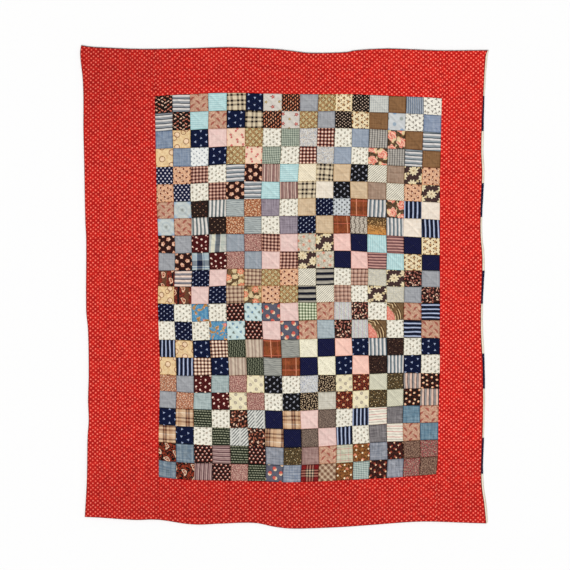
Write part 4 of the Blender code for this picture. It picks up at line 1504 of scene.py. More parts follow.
@fabric("brown_redcream_flowers", specular=0.12)
def _(k):
    x, y, r = k.lattice(21.0, 30.0, 0.5, 0.24, 32)
    x, y = k.turn(x, y, (r[2] - 0.5) * 2.4)
    return k.over(rgb(54, 24, 22), (rgb(98, 54, 42), k.step(k.noise(7, 1, seed=19), 0.53, 0.6) * 0.7),
                  (rgb(152, 76, 60), k.oval(x + 1.0, y - 5.0, 4.8, 5.4, 0.1)),
                  (rgb(118, 46, 40), k.disc(x - 7.0, y + 5.4, 3.2)),
                  (rgb(244, 210, 176), k.oval(x, y + 2.8, 3.7, 3.1)), (rgb(206, 130, 104), k.disc(x, y - 2.2, 1.9)))


@fabric("golden_creamdots")
def _(k):
    x, y, r = k.lattice(28, 30, 0.5, 0.1, 33)
    x2, y2, r2 = k.lattice(32, 36, 0.5, 0.2, 34)
    cluster = k.most(k.disc(x2, y2, 3.8, 0.8), k.disc(x2 - 4.2, y2 + 4.4, 3.3, 0.8), k.disc(x2 + 4.6, y2 + 3.8, 3.0, 0.8))
    return k.over(rgb(144, 94, 48), (rgb(184, 128, 72), k.step(k.noise(10, 1.5, seed=20), 0.52, 0.6) * 0.6),
                  (rgb(86, 48, 26), k.step(k.noise(7, 1, seed=21), 0.53, 0.59) * 0.85),
                  (rgb(230, 150, 122), cluster * k.step(r2[2], 0.25, 0.35)),
                  (rgb(255, 242, 214), k.disc(x, y, 3.9)))


# --- dense and large prints
def scrolls(ground, main, light, size, seed=0):
    """A dark ground crowded with little turned petals in two colours."""
    def draw(k):
        x, y, d, r = k.scatter(size, 0.9, seed + 60)
        x, y = k.turn(x, y, r[2] * 6.28)
        y = k.math("MULTIPLY_ADD", x * x, 0.07, y)
        tint = k.blend(rgb(*main), rgb(*light), k.step(r[0], 0.62, 0.7))
        petal = k.oval(x, y, size * 0.42, size * 0.21, 0.16)
        return k.over(rgb(*ground), (rgb(*[(a + b) // 2 for a, b in zip(ground, main)]),
                                     k.step(k.noise(size * 0.7, 1.0, seed=seed + 22), 0.53, 0.59) * 0.5), (tint, petal))
    return draw


named("brown_dense_rust", scrolls((36, 16, 14), (186, 122, 108), (240, 206, 182), 12.6), specular=0.12)
named("brown_dense_floral", scrolls((44, 19, 14), (186, 118, 94), (244, 210, 186), 13.6, 5), specular=0.12)


@fabric("brown_daisies")
def _(k):
    # Full rounded blossoms, two ages of bloom, on a dark ground.
    bend = (k.noise(9, 1, seed=24) - 0.5) * 5
    x, y, r = k.lattice(46, 56, 0.5, 0.06, 35, u=k.u + bend, v=k.v + bend)
    x, y = k.turn(x, y, r[2] * 6.28)
    rad = k.radius(x, y)
    flower = k.petals(x, y, 21.4, 9, 0.16, 0.8)
    groove = k.within(k.math("ABSOLUTE", k.math("COSINE", k.math("ARCTAN2", y, x) * 4.5)), 0.16, 0.14)
    sx, sy, q = k.lattice(46, 56, 0.5, 0.1, 35, u=k.u + 23, v=k.v + 14)
    return k.over(rgb(72, 50, 50), (rgb(102, 78, 72), k.step(k.noise(3, 1), 0.52, 0.6) * 0.5),
                  (rgb(228, 208, 166), k.petals(sx, sy, 7.4, 5, 0.26)),
                  (rgb(243, 230, 197), flower),
                  (rgb(186, 156, 112), flower * groove * k.step(rad, 4, 14) * 0.8),
                  (rgb(204, 176, 130), k.ring(x, y, 11.0, 1.6, 0.8) * 0.7),
                  (rgb(152, 114, 74), k.petals(x, y, 5.4, 6, 0.2)), (rgb(236, 214, 168), k.disc(x, y, 2.2)))


@fabric("roses_olive")
def _(k):
    bend = (k.noise(12, 1, seed=53) - 0.5) * 12
    x, y, r = k.lattice(44, 58, 0.5, 0.14, 51, u=k.u + bend, v=k.v - bend)
    x, y = k.turn(x, y, r[2] * 6.28)
    rad = k.radius(x, y)
    swirl = k.math("SINE", k.math("MULTIPLY_ADD", k.math("ARCTAN2", y, x), 3.0, rad * 0.55))
    rose = k.petals(x, y, 22.5, 5, 0.12, 1.2)
    bloom = k.blend(rgb(236, 140, 122), rgb(252, 206, 182), k.step(swirl, -0.5, 0.5))
    l1 = k.leaf(x - 21, y - 6, 17, 13)
    lx, ly = k.turn(x + 17, y + 16, 0.9)
    cream = k.most(k.disc(x - 13, y - 11, 7.5, 1.5), k.disc(x - 21, y - 6, 5.5, 1.5))
    return k.over(rgb(88, 68, 50), (rgb(134, 104, 70), k.step(k.noise(9, 1, seed=25), 0.5, 0.58) * 0.7),
                  (rgb(170, 130, 84), l1), (rgb(240, 222, 176), k.leaf(lx, ly, 15, 10)), (bloom, rose),
                  (rgb(246, 226, 184), cream * 0.85), (rgb(206, 96, 88), k.disc(x, y, 4.0, 1.2)),
                  (rgb(244, 204, 180), k.disc(x - 1, y + 1, 1.6)))


@fabric("large_floral_brown")
def _(k):
    # Sprays of cream leaves and a coral flower, on a brown ground that shades to tan.
    ground = k.blend(rgb(112, 86, 58), rgb(190, 156, 112), k.step(k.noise(50, 1, seed=26), 0.44, 0.60))
    x, y, r = k.lattice(25, 33, 0.5, 0.26, 52)
    x, y = k.turn(x, y, r[2] * 6.28)
    y = k.math("MULTIPLY_ADD", x * x, 0.02, y)
    spray = k.most(k.leaf(x, y, 22, 8.5), k.leaf(x + 3, y - 7, 15, 6.5), k.leaf(x - 2, y + 7, 15, 6.5))
    vein = k.band(x + k.math("ABSOLUTE", y) * 0.8, 4.4, 1.5)
    fx, fy, q = k.lattice(54, 66, 0.5, 0.2, 53)
    bloom = k.petals(fx, fy, 17, 7, 0.16, 1.2)
    return k.over(ground, (rgb(84, 60, 42), k.step(k.noise(12, 1.2, seed=27), 0.54, 0.60) * 0.7),
                  (rgb(238, 220, 178), spray * k.step(r[0], 0.25, 0.35)), (rgb(190, 158, 112), spray * vein * 0.6),
                  (rgb(228, 146, 116), bloom), (rgb(246, 190, 158), k.petals(fx, fy, 9.5, 7, 0.2, 1.0)),
                  (rgb(170, 92, 68), k.disc(fx, fy, 2.6, 1)))


@fabric("blue_orange")
def _(k):
    x2, y2, r2 = k.lattice(38, 50, 0.5, 0.3, 36)
    big = k.noise(28, 0.8, seed=61, distort=0.9)
    leafy = k.step(big, 0.55, 0.585)
    bud = k.petals(x2, y2, 9.4, 5, 0.24) * k.step(r2[0], 0.35, 0.45)
    return k.over(rgb(92, 150, 188), (rgb(138, 182, 202), k.step(k.noise(9, 1, seed=28), 0.48, 0.58) * 0.6),
                  (rgb(200, 148, 88), leafy), (rgb(144, 128, 84), leafy * k.step(k.noise(9, 1, seed=56), 0.5, 0.56) * 0.85),
                  (rgb(238, 190, 128), k.within(k.math("ABSOLUTE", big - 0.585), 0.012, 0.008) * 0.8),
                  (rgb(238, 134, 122), bud), (rgb(250, 196, 178), k.disc(x2, y2, 2.6, 1)))


@fabric("brown_swirls")
def _(k):
    # Long curved ribs sweeping round one corner, a pink flower in the corner.
    bend = (k.noise(34, 1, seed=29) - 0.5) * 22
    x, y = k.u + 10, k.v + bend
    away = k.radius(x, y * 0.86)
    rib = k.stripes(away, 11.0, [(3.8, rgb(72, 52, 36)), (2.4, rgb(150, 114, 78)), (2.4, rgb(246, 224, 180)),
                                 (2.4, rgb(134, 100, 66))], soft=1.4)
    fade = k.step(k.noise(22, 1, seed=66), 0.36, 0.52)
    ground = k.blend(rgb(142, 112, 78), rgb(112, 86, 58), k.noise(9, 1))
    pink = k.blend(rgb(242, 174, 156), rgb(228, 140, 124), k.step(k.noise(8, 1, seed=31), 0.4, 0.6))
    return k.over(ground, (rib, k.step(away, 44, 48) * k.step(away, 86, 76) * fade), (pink, k.step(away, 50, 46)))


@fabric("ombre_gold")
def _(k):
    f = k.math("MULTIPLY_ADD", k.v + (k.noise(20, 2, seed=32) - 0.5) * 26, -0.016, 0.42, clamp=True)
    base = k.ramp(f, [(0.0, rgb(94, 72, 42)), (0.35, rgb(128, 92, 52)), (0.6, rgb(190, 136, 76)), (1.0, rgb(220, 162, 92))])
    figure = k.step(k.noise(6, 1.5, seed=33), 0.54, 0.64)
    return k.over(base, (rgb(236, 196, 140), figure * k.within(k.math("ABSOLUTE", k.v - 8), 24, 10) * 0.8),
                  (rgb(88, 60, 34), k.step(k.noise(9, 1.5, seed=57), 0.56, 0.63) * 0.5))


@fabric("medallion_blue")
def _(k):
    x, y = k.math("PINGPONG", k.u, 38.0), k.math("PINGPONG", k.v, 38.0)
    rad = k.radius(x, y)
    spot = k.radius(38.0 - x, 38.0 - y)
    lace = k.step(k.noise(4.5, 1, seed=64), 0.48, 0.60)
    return k.over(rgb(202, 210, 210), (rgb(218, 220, 212), lace * 0.5), (rgb(166, 188, 212), k.within(spot, 15, 8) * 0.8),
                  (rgb(180, 192, 198), k.within(k.math("ABSOLUTE", rad - 20), 3.4, 2.0) * 0.5),
                  (rgb(172, 178, 174), k.within(rad, 8.5, 3.0) * 0.7), (rgb(146, 152, 150), k.disc(x, y, 3.6, 1.6)))


@fabric("greybeige_vines")
def _(k):
    x = k.near(k.u + k.math("SINE", k.v * 0.16) * 2.4, 19.0)
    stem = k.within(x, 1.6, 0.5)
    lx, ly, r = k.lattice(9.5, 11.0, 0.5, 0.3, 38)
    lx, ly = k.turn(lx, ly, r[2] * 3.1)
    return k.over(rgb(208, 198, 184), (rgb(84, 66, 56), stem), (rgb(92, 74, 64), k.leaf(lx, ly, 4.8, 3.6)),
                  (rgb(234, 224, 206), k.disc(lx, ly, 1.1)))


@fabric("green_squiggle", specular=0.12)
def _(k):
    q = k.u + k.math("SINE", k.v * 0.42) * 0.9
    col = k.math("FLOOR", q / 7.6 + 200.5)
    gap = k.step(k.math("PINGPONG", k.math("MULTIPLY_ADD", col, 7.3, k.v), 9.5), 1.1, 2.1)
    line = k.band(q, 7.6, 2.3) * gap
    return k.over(rgb(38, 44, 32), (rgb(168, 172, 146), line * 0.9))


@fabric("green_dashes", specular=0.12)
def _(k):
    a, b, r = k.lattice(10.6, 11.4, 0.37, 0.0, 55, u=k.v, v=k.u)
    dash = k.oval(b + (r[0] - 0.5) * 3, a, 4.5, 1.8, 0.2)
    a2, b2, r2 = k.lattice(10.6, 7.0, 0.43, 0.0, 56, u=k.v + 5.3, v=k.u)
    small = k.oval(b2, a2, 2.4, 0.9, 0.3)
    return k.over(rgb(46, 52, 38), (rgb(112, 116, 92), small * 0.85), (rgb(180, 182, 158), dash * 0.9))


def paisley(ground, second, drops, outline, stripe):
    def draw(k):
        bend = (k.noise(12, 1, seed=58) - 0.5) * 8
        x, y, r = k.lattice(39, 54, 0.5, 0.12, 39, u=k.u + bend, v=k.v)
        x, y = k.turn(x, y, (r[2] - 0.5) * 1.8 + 1.2)
        y = k.math("MULTIPLY_ADD", x * x, 0.028, y)
        drop = k.oval(x, y, 15.5, 8.6, 0.07)
        mid = k.oval(x + 1.5, y, 9.5, 5.0, 0.1)
        base = k.over(rgb(*ground), (rgb(*second), k.step(k.noise(9, 1.5, seed=37, distort=0.8), 0.48, 0.52)))
        if stripe:
            base = k.over(base, (rgb(108, 82, 56), k.band(k.u, 76, 20, 2.0, shift=8) * 0.7),
                          (rgb(30, 13, 13), k.band(k.u, 76, 9, shift=46)))
        return k.over(base, (rgb(*outline), k.oval(x, y, 17.4, 10.4, 0.07)), (rgb(*drops), drop),
                      (rgb(*ground), mid), (rgb(*drops), k.petals(x + 2.5, y, 3.6, 5, 0.3)))
    return draw


named("paisley_rust", paisley((150, 62, 44), (104, 44, 34), (238, 196, 166), (50, 20, 17), True))
named("paisley_black", paisley((158, 70, 46), (22, 14, 14), (232, 200, 176), (18, 12, 12), False), specular=0.12)


# --- border and backing
@fabric("border_print", lines="border", sheen=0.05, mottle=0.12, crinkle=0.12, aged=False)
def _(k):
    # Salmon florets on a half-dropped lattice, darker leaves between them.
    x, y, r = k.lattice(10.5, 19.0, 0.5, 0.16, 40)
    petal = k.petals(x, y, 4.2, 5, 0.15, 0.9)
    u, v, q = k.lattice(10.5, 9.5, 0.5, 0.2, 41, u=k.u + 5.25, v=k.v + 2.4)
    lx, ly = k.turn(u, v, q[2] * 3.14)
    dark = k.leaf(lx, ly, 4.2, 3.6, 0.6)
    patchy = k.step(k.noise(30, 2.0, seed=40), 0.3, 0.7)
    base = k.blend(rgb(176, 14, 9), rgb(200, 26, 17), patchy)
    worn = k.step(k.noise(150, 3.0, seed=41), 0.48, 0.72)
    tint = k.blend(rgb(244, 84, 68), rgb(255, 116, 98), r[0])
    base = k.over(base, (rgb(130, 8, 8), dark * 0.9), (tint, petal * 0.95),
                  (rgb(255, 148, 126), k.disc(x, y, 1.8, 0.6) * 0.7))
    return k.over(base, (rgb(214, 46, 34), worn * 0.10))


@fabric("backing_cream", lines="none", slub=0.03)
def _(k):
    return streaked((250, 244, 228), (238, 228, 206), 0.5)(k)


@fabric("backing_navy", lines="none", specular=0.12)
def _(k):
    x, y, r = k.lattice(9.0, 18.0, 0.5, 0.06, 42)
    return k.over(rgb(20, 30, 66), (rgb(150, 162, 190), k.disc(x, y, 1.2, 0.5)))


MATERIALS = {}


def material(name):
    if name not in MATERIALS:
        draw, look = FABRICS[name]
        cloth = Cloth("cotton_" + name)
        MATERIALS[name] = cloth.finish(draw(cloth), **look)
    return MATERIALS[name]


# ---------------------------------------------------------------- which fabric goes where
# Blocks of two by two patches, top row of blocks first.  Two names: the first is in the
# top left and bottom right.  Four names: top left, top right, bottom left, bottom right.
# A name ending in / is laid with its stripes across the quilt.
CHART = """
squiggle_black ticking/ | sprig_rosetan aqua/ | windowpane_beige navy_sprig | grey_redflower brown_commas | coolgrey khaki_floral | cream_browndots black_creamdots | greyblue_check brown_plain brown_plain blue_blobs | bluegrey_stripe cream_sprig_brown cream_sprig_brown slateblue_chambray
bluegrey_chambray wheat_rings | navy_sprig pale_pink cream_blue_sprig navy_sprig | peach_redsprig khaki_floral | cream_sprig sage_check | grey_speckle gingham_maroon | cream_sprig slate_blue | grey_cross roses_olive | brown_plain ticking_lav/
navy_polka peach_dotsrings | gingham_tan cream_sprig | ticking_lav/ brown_buds | mauve_stripe aqua/ | creamyellow_fine windowpane_beige windowpane_beige ivory | sand black_commas | cream_dashes taupe | brown_daisies peach_dotsrings
sprig_rosetan medallion_blue | black_flecks ticking_white | greyteal_lines orange_floral | grey_mauve cream_sprig | sand navy_dense_sprig | lightblue_motifs rust_plaid rust_plaid greybeige_vines | ticking_slate roses_olive ombre_gold ticking_slate | navy_blue_stripe pale_cream_pink
brown_buds coolgrey | maroon_flecks plaid_greenblue plaid_navyblock maroon_flecks | slate_lilac dusty_rose | gingham_tan pale_pink | greybeige_orangefloral brown_daisies | pink navy_fine | aqua mauve_hstripe/ | navy_fine cream_browndots
paisley_rust ticking_creampink/ wheat_rings paisley_rust | navy_small_sprig pale_pink | large_floral_brown tan_plaid_soft | khaki_floral peach_dotsrings | cream_dashes navygrey_stripe/ | cream_sprig tan_redplaid | greybeige_faint brown_daisies | brown_dense_rust coolgrey
navy_small_sprig cream_sprig | blue_orange cream_sprig | brown_pinkdots aqua_sprigs | slate_buds pale_pink | sage_gingham sprig_rosetan sprig_rosetan greyblue_fine | lightgrey_lilac brown_dense_rust | cream_sprig brown_swirls | sprig_rosetan navy_blue_stripe/
navy_blue_stripe wheat_rings | navy_sprig gingham_tan_dark | green_squiggle tan_soft_stripe | rust_plaid greygreen_lines | cream_speckle navy_fine | peach_pink navy_sprig | ticking_slate darkbrown_flecks | cream_sprig navy_sprig
orange_speckle coolgrey | maroon_flecks greyaqua | dusty_rose creamyellow_rings | black_commas cream_sprig | lightgrey_speckle brown_creamdots brown_creamdots pale_grey_cream | creamyellow_rings rust_creamspots | pale_cream_green olive_speckle | pinkbeige_stripe black_orangespots
navy_sprig tan_brown_plaid | green_dashes cream_sprig | brown_dense_floral herringbone | navy_fine tan_brown_plaid | pale_pink taupe_speckle | cream_sprig navy_blue_stripe | cream_pinkstripe dark_grey | steel_chambray sprig_rosetan
paisley_black steel_blue | brown_pinkdots mauve_pale_stripe/ mauve_pale_stripe brown_pinkdots | green_dashes brown_pinkdots dusty_rose green_dashes | greyblue_mottled olive_speckle slate_buds slate_plain | mauve_taupe sprig_rosetan tartan_red diag_plaid | greycream_pinkplaid golden_creamdots golden_creamdots greyaqua_check | greyblue_mottled brown_redcream_flowers | taupe_brown_speckle mauve_rose_speckle
"""


def layout():
    """Fabric name of every patch, by row and column."""
    patches = {}
    for r, line in enumerate(CHART.strip().splitlines()):
        for c, block in enumerate(line.split("|")):
            names = block.split()
            if len(names) == 2:
                a, b = names
                names = [a, b, b, a]
            for k, name in enumerate(names):
                patches[(2 * r + k // 2, 2 * c + k % 2)] = name
    return patches


PATCHES = layout()
# Fabrics with one motif to a patch: where the patch's middle falls in the motif, mm.
CENTRED = {"medallion_blue": 0, "tartan_red": 40, "ombre_gold": 0, "brown_swirls": 38.1}


def patch_cut(places, centre):
    """Cloth coordinates, in metres, of grid places in the patches that hold the centres."""
    col = np.clip(np.floor(centre[:, 0]), 0, COLUMNS - 1).astype(int)
    row = np.clip(np.floor(centre[:, 1]), 0, ROWS - 1).astype(int)
    p, q = (places[:, 0] - col) * PATCH, (row + 1 - places[:, 1]) * PATCH
    # The cloth pulls a little out of square as it is sewn and quilted.
    pull_x = 2.6 * (noise(places[:, 0] * 1.7 + 3, places[:, 1] * 1.7, 51) - 0.5)
    pull_y = 2.6 * (noise(places[:, 0] * 1.7 + 9, places[:, 1] * 1.7, 52) - 0.5)
    r1, r2, r3 = (dice(row, col, seed) for seed in (61, 62, 63))
    skew = (r3 - 0.5) * 0.07
    p, q = p + pull_x + skew * q, q + pull_y - skew * p
    lie = np.array([[PATCHES[(a, b)].endswith("/") for b in range(COLUMNS)] for a in range(ROWS)])
    turned = lie[row, col]
    u, v = np.where(turned, q, p), np.where(turned, -p, q)
    held = np.array([[CENTRED.get(PATCHES[(a, b)], -1) for b in range(COLUMNS)] for a in range(ROWS)])
    shift = held[row, col]
    u = np.where(shift < 0, u + np.floor(r1 * 900), u - PATCH / 2 + shift)
    v = np.where(shift < 0, v + np.floor(r2 * 900), v - PATCH / 2 + shift)
    return np.stack([u, v], 1) * MM


def border_cut(places, centre):
    """The border's print, running with each strip."""
    s, t = places[:, 0], places[:, 1]
    x, y = plan(s, t)
    strip_ = np.where(centre[:, 0] < 0, 0, np.where(centre[:, 0] > COLUMNS, 1,
                      np.where(centre[:, 1] < 0, 2, 3)))
    shift_u, shift_v = np.array([3.0, 11.0, 6.5, 15.0])[strip_], np.array([2.0, 8.0, 5.0, 13.0])[strip_]
    X, Y = x / MM + 1200, y / MM + 1400
    u = X + shift_u + 5 * (noise(X / 240, Y / 240, 71) - 0.5) + 2.2 * (noise(X / 70, Y / 70, 72) - 0.5)
    v = Y + shift_v + 5 * (noise(X / 240, Y / 240, 73) - 0.5) + 2.2 * (noise(X / 70, Y / 70, 74) - 0.5)
    return np.stack([u, v], 1) * MM


# ---------------------------------------------------------------- camera, light, floor
for stray in [o for o in bpy.data.objects if o.type in ("LIGHT", "CAMERA")]:
    bpy.data.objects.remove(stray)
scene = bpy.context.scene
quilt = bpy.data.collections.new("patchwork_quilt")
scene.collection.children.link(quilt)

camera = bpy.data.objects.new("camera", bpy.data.cameras.new("camera"))
camera.data.lens, camera.data.sensor_width = 100, 36
camera.location = (0.0, 0.0087, 2.461 / 0.36 + 0.004)
camera.data.clip_end = 60
scene.collection.objects.link(camera)
scene.camera = camera
scene.view_settings.view_transform = "Standard"

world = bpy.data.worlds.new("studio")
world.use_nodes = True
world.node_tree.nodes["Background"].inputs[0].default_value = (0.985, 0.99, 1.0, 1)
world.node_tree.nodes["Background"].inputs[1].default_value = 0.58
scene.world = world
key = bpy.data.objects.new("key", bpy.data.lights.new("key", "SUN"))
key.data.energy, key.data.angle = 2.15, math.radians(16)
key.data.color = (1.0, 0.99, 0.975)
key.rotation_euler = (math.radians(38), math.radians(-30), 0)
scene.collection.objects.link(key)


def floor_material():
    mat = bpy.data.materials.new("studio_floor")
    mat.use_nodes = True
    tree = mat.node_tree
    shader = tree.nodes["Principled BSDF"]
    grain = tree.nodes.new("ShaderNodeTexNoise")
    grain.inputs["Scale"].default_value = 60
    spread = tree.nodes.new("ShaderNodeMapRange")
    spread.inputs["To Min"].default_value, spread.inputs["To Max"].default_value = 0.86, 0.94
    tree.links.new(grain.outputs[0], spread.inputs[0])
    tree.links.new(spread.outputs[0], shader.inputs["Roughness"])
    shader.inputs["Base Color"].default_value = (0.955, 0.955, 0.955, 1)
    shader.inputs["Specular IOR Level"].default_value = 0.1
    return mat


floor_mesh = bpy.data.meshes.new("floor")
floor_mesh.from_pydata([(-14, -14, -0.0004), (14, -14, -0.0004), (14, 14, -0.0004), (-14, 14, -0.0004)],
                       [], [(0, 1, 2, 3)])
floor_mesh.materials.append(floor_material())
floor = bpy.data.objects.new("floor", floor_mesh)
scene.collection.objects.link(floor)

# ---------------------------------------------------------------- backing
NOMINAL_LIP = 6.8
# Where the backing's cream and navy bars meet, y of the seams down the right-hand edge.
BARS = (0.8254, 0.6734, 0.4488, 0.3020, 0.0710, -0.0723, -0.2869, -0.4389, -0.6505, -0.8064)


def make_backing():
    t_fine = np.linspace(HEAD, FOOT, 2000)
    y_fine = plan(np.full_like(t_fine, RIGHT), t_fine)[1]
    bar_t = np.interp(BARS, y_fine[::-1], t_fine[::-1])
    T = [HEAD, HEAD + 0.01, HEAD + 0.03]
    edges = [HEAD] + bar_t.tolist() + [FOOT]
    for a, b in zip(edges[:-1], edges[1:]):
        lo = a + (0.06 if a == HEAD else 0.03)
        hi = b - (0.06 if b == FOOT else 0.03)
        count = max(2, round((hi - lo) / 0.165))
        T += np.linspace(lo, hi, count + 1).tolist()
        if b != FOOT:
            T += [b - 0.012, b, b + 0.012]
    T += [FOOT - 0.03, FOOT - 0.01, FOOT]
    T = stations(T)
    S = stations([LEFT, LEFT + 0.01, LEFT + 0.03], np.linspace(LEFT + 0.06, -0.02, 25),
                 np.linspace(0, COLUMNS, 97), np.linspace(COLUMNS + 0.165, RIGHT - 0.03, 13), RIGHT)
    # Past the border's edge the margin stands as a rolled lip: shares of its width, and
    # its underside and upper side in mm.
    lip = ((0.010, 0.0, 1.2), (0.022, 0.0, 3.0), (0.14, 0.0, 3.5), (0.34, 0.0, 3.65),
           (0.56, 0.05, 3.45), (0.75, 0.25, 3.0), (0.89, 0.65, 2.4), (0.97, 1.1, 1.9), (1.0, 1.4, 1.6))
    nx, ny, extra = len(S), len(T), len(lip)
    s, t = np.meshgrid(S, T)
    x, y = plan(s, t)
    inset = 0.002
    x[:, 0] += inset
    y[0, :] -= inset
    y[-1, :] += inset
    # A quilted underside, sunk along the stitching.
    a, b = gap_to(s + t, 1) * PATCH / 1.414, gap_to(s - t, 1) * PATCH / 1.414
    c = gap_to(s + t, 0.5) * PATCH / 1.414
    inside = (s >= 0) & (s <= COLUMNS) & (t >= 0) & (t <= ROWS)
    sunk = np.where(inside, 0.55 * np.exp(-np.minimum(a, b) / 6), 0.5 * np.exp(-c / 4))
    seam = np.min(np.abs(t[..., None] - bar_t), -1) * PATCH
    sunk = sunk + 0.25 * np.exp(-(seam / 1.2) ** 2)
    low, high = sunk * MM, np.full_like(x, 1.2 * MM)
    off = wave(x, y)
    low, high = low + off, high + off
    # The lip's own columns.
    width = (NOMINAL_LIP + 4.4 * (noise(T * 0.42, T * 0 + 2, 81) - 0.5)
             + 1.6 * (noise(T * 2.1, T * 0 + 5, 82) - 0.5)) * MM
    ex, ey, el, eh = [], [], [], []
    edge_x, edge_y, edge_off = x[:, -1], y[:, -1], off[:, -1]
    lump = 0.35 * (noise(T * 3.3, T * 0 + 7, 83) - 0.5) - 0.30 * np.exp(
        -(np.min(np.abs(T[:, None] - bar_t), 1) * PATCH / 1.5) ** 2)
    ends = np.clip(np.minimum(T - HEAD, FOOT - T) * PATCH / 7.0, 0, 1) ** 0.5
    width = width * mix(0.35, 1.0, ends)
    for f, lo, hi in lip:
        ex.append(edge_x + f * width)
        ey.append(edge_y)
        el.append(edge_off + lo * MM)
        lift = np.clip((hi - 1.6) / 2.0, 0, 1)
        eh.append(edge_off + (hi + lump * lift) * MM)
    x = np.concatenate([x, np.stack(ex, 1)], 1)
    y = np.concatenate([y, np.stack(ey, 1)], 1)
    low = np.concatenate([low, np.stack(el, 1)], 1)
    high = np.concatenate([high, np.stack(eh, 1)], 1)
    past = np.array([RIGHT + f * NOMINAL_LIP / PATCH for f, _, _ in lip])
    gs = np.concatenate([s, np.broadcast_to(past, (ny, extra))], 1)
    gt = np.concatenate([t, np.repeat(T[:, None], extra, 1)], 1)
    nx += extra
    top = np.stack([x, y, high], -1).reshape(-1, 3)
    bottom = np.stack([x, y, low], -1).reshape(-1, 3)
    n = nx * ny
    number = np.arange(n).reshape(ny, nx)
    faces, materials, smooth = [], [], []
    bar = np.searchsorted(bar_t, (T[:-1] + T[1:]) / 2) % 2      # 0 cream, 1 navy
    for j in range(ny - 1):
        for i in range(nx - 1):
            p, q, r, w = number[j, i], number[j, i + 1], number[j + 1, i + 1], number[j + 1, i]
            faces.append((w, r, q, p))
            faces.append((p + n, q + n, r + n, w + n))
            materials += [bar[j]] * 2
            smooth += [True, True]
    for j in range(ny - 1):
        for i, flip in ((0, False), (nx - 1, True)):
            p, w = number[j, i], number[j + 1, i]
            faces.append((w, p, p + n, w + n) if not flip else (p, w, w + n, p + n))
            materials.append(bar[j])
            smooth.append(flip)
    for i in range(nx - 1):
        for j, flip in ((0, False), (ny - 1, True)):
            p, q = number[j, i], number[j, i + 1]
            faces.append((p, q, q + n, p + n) if not flip else (q, p, p + n, q + n))
            materials.append(bar[0] if j == 0 else bar[-1])
            smooth.append(False)
    mesh = bpy.data.meshes.new("backing_cloth")
    mesh.from_pydata(np.concatenate([top, bottom]).tolist(), [],
                     [[int(k) for k in f] for f in faces])
    mesh.polygons.foreach_set("material_index", [int(m) for m in materials])
    mesh.polygons.foreach_set("use_smooth", smooth)
    grid = np.stack([gs.ravel(), gt.ravel()], 1)
    grid = np.concatenate([grid, grid])
    write_maps(mesh, grid, lambda places, centre: np.stack(
        [places[:, 0] * PATCH + 900, 2400 - places[:, 1] * PATCH], 1) * MM)
    mesh.set_sharp_from_angle(angle=math.radians(60))
    mesh.update()
    obj = bpy.data.objects.new("backing_cloth", mesh)
    quilt.objects.link(obj)
    finish_sheet(obj, [material("backing_cream"), material("backing_navy")], "backing")
    return obj


# ---------------------------------------------------------------- front
def front_low(x, y):
    return wave(x, y) + 1.5 * MM


def make_blocks():
    made = []
    for br in range(ROWS // 2):
        for bc in range(COLUMNS // 2):
            S = np.concatenate([2 * bc + CELL, 2 * bc + 1 + CELL[1:]])
            T = np.concatenate([2 * br + CELL, 2 * br + 1 + CELL[1:]])
            names, numbers = [], {}
            for k in range(4):
                name = PATCHES[(2 * br + k // 2, 2 * bc + k % 2)].rstrip("/")
                if name not in names:
                    names.append(name)
                numbers[(k // 2, k % 2)] = names.index(name)
            table = np.array([[numbers[(0, 0)], numbers[(0, 1)]],
                              [numbers[(1, 0)], numbers[(1, 1)]]])
            n = len(CELL) - 1

            def slots(i, j):
                return table[j // n, i // n]

            def slant(i, j):
                """Cells are split along whichever line of quilting is nearer."""
                i, j = i % n, j % n
                return (i < n // 2) != (j < n // 2)

            thin = 0.00004
            obj = slab(f"block_r{br:02d}_c{bc}", S, T, front_low, slots, slant, patch_cut,
                       inset=(thin,) * 4)
            finish_sheet(obj, [material(m) for m in names], "patchwork_field")
            made.append(obj)
    return made


def make_borders():
    all_t = stations(HEAD + RIM, strip(HEAD, FOOT, RIM, RIM)[len(RIM):-len(RIM)], FOOT - RIM)
    # Beside the field the side strips also meet the ends of the top and bottom strips.
    field_s = stations(np.arange(0, COLUMNS * 16 + 1) / 16, NEAR, COLUMNS - NEAR)
    shapes = {
        "border_left": (strip(LEFT, 0, RIM, NEAR), all_t, (0.33, 2.06)),
        "border_right": (strip(COLUMNS, RIGHT, NEAR, RIM), all_t, (0.19, 2.04)),
        "border_top": (field_s, strip(HEAD, 0, RIM, NEAR), (1.235, 0.20)),
        "border_bottom": (field_s, strip(ROWS, FOOT, NEAR, RIM), (1.235, 0.20)),
    }
    thin = 0.00004
    made = []
    for node, (S, T, flat) in shapes.items():
        inset = (thin if S[0] == 0 or S[0] == COLUMNS else 0, thin if S[-1] in (0, COLUMNS) else 0,
                 thin if T[0] == ROWS else 0, thin if T[-1] == 0 else 0)
        obj = slab(node + "_cloth", S, T, front_low, lambda i, j: np.zeros_like(i),
                   lambda i, j: np.ones_like(i, bool), border_cut, inset=inset, coarse=0.3)
        finish_sheet(obj, [material("border_print")], node)
        made.append(obj)
    return made


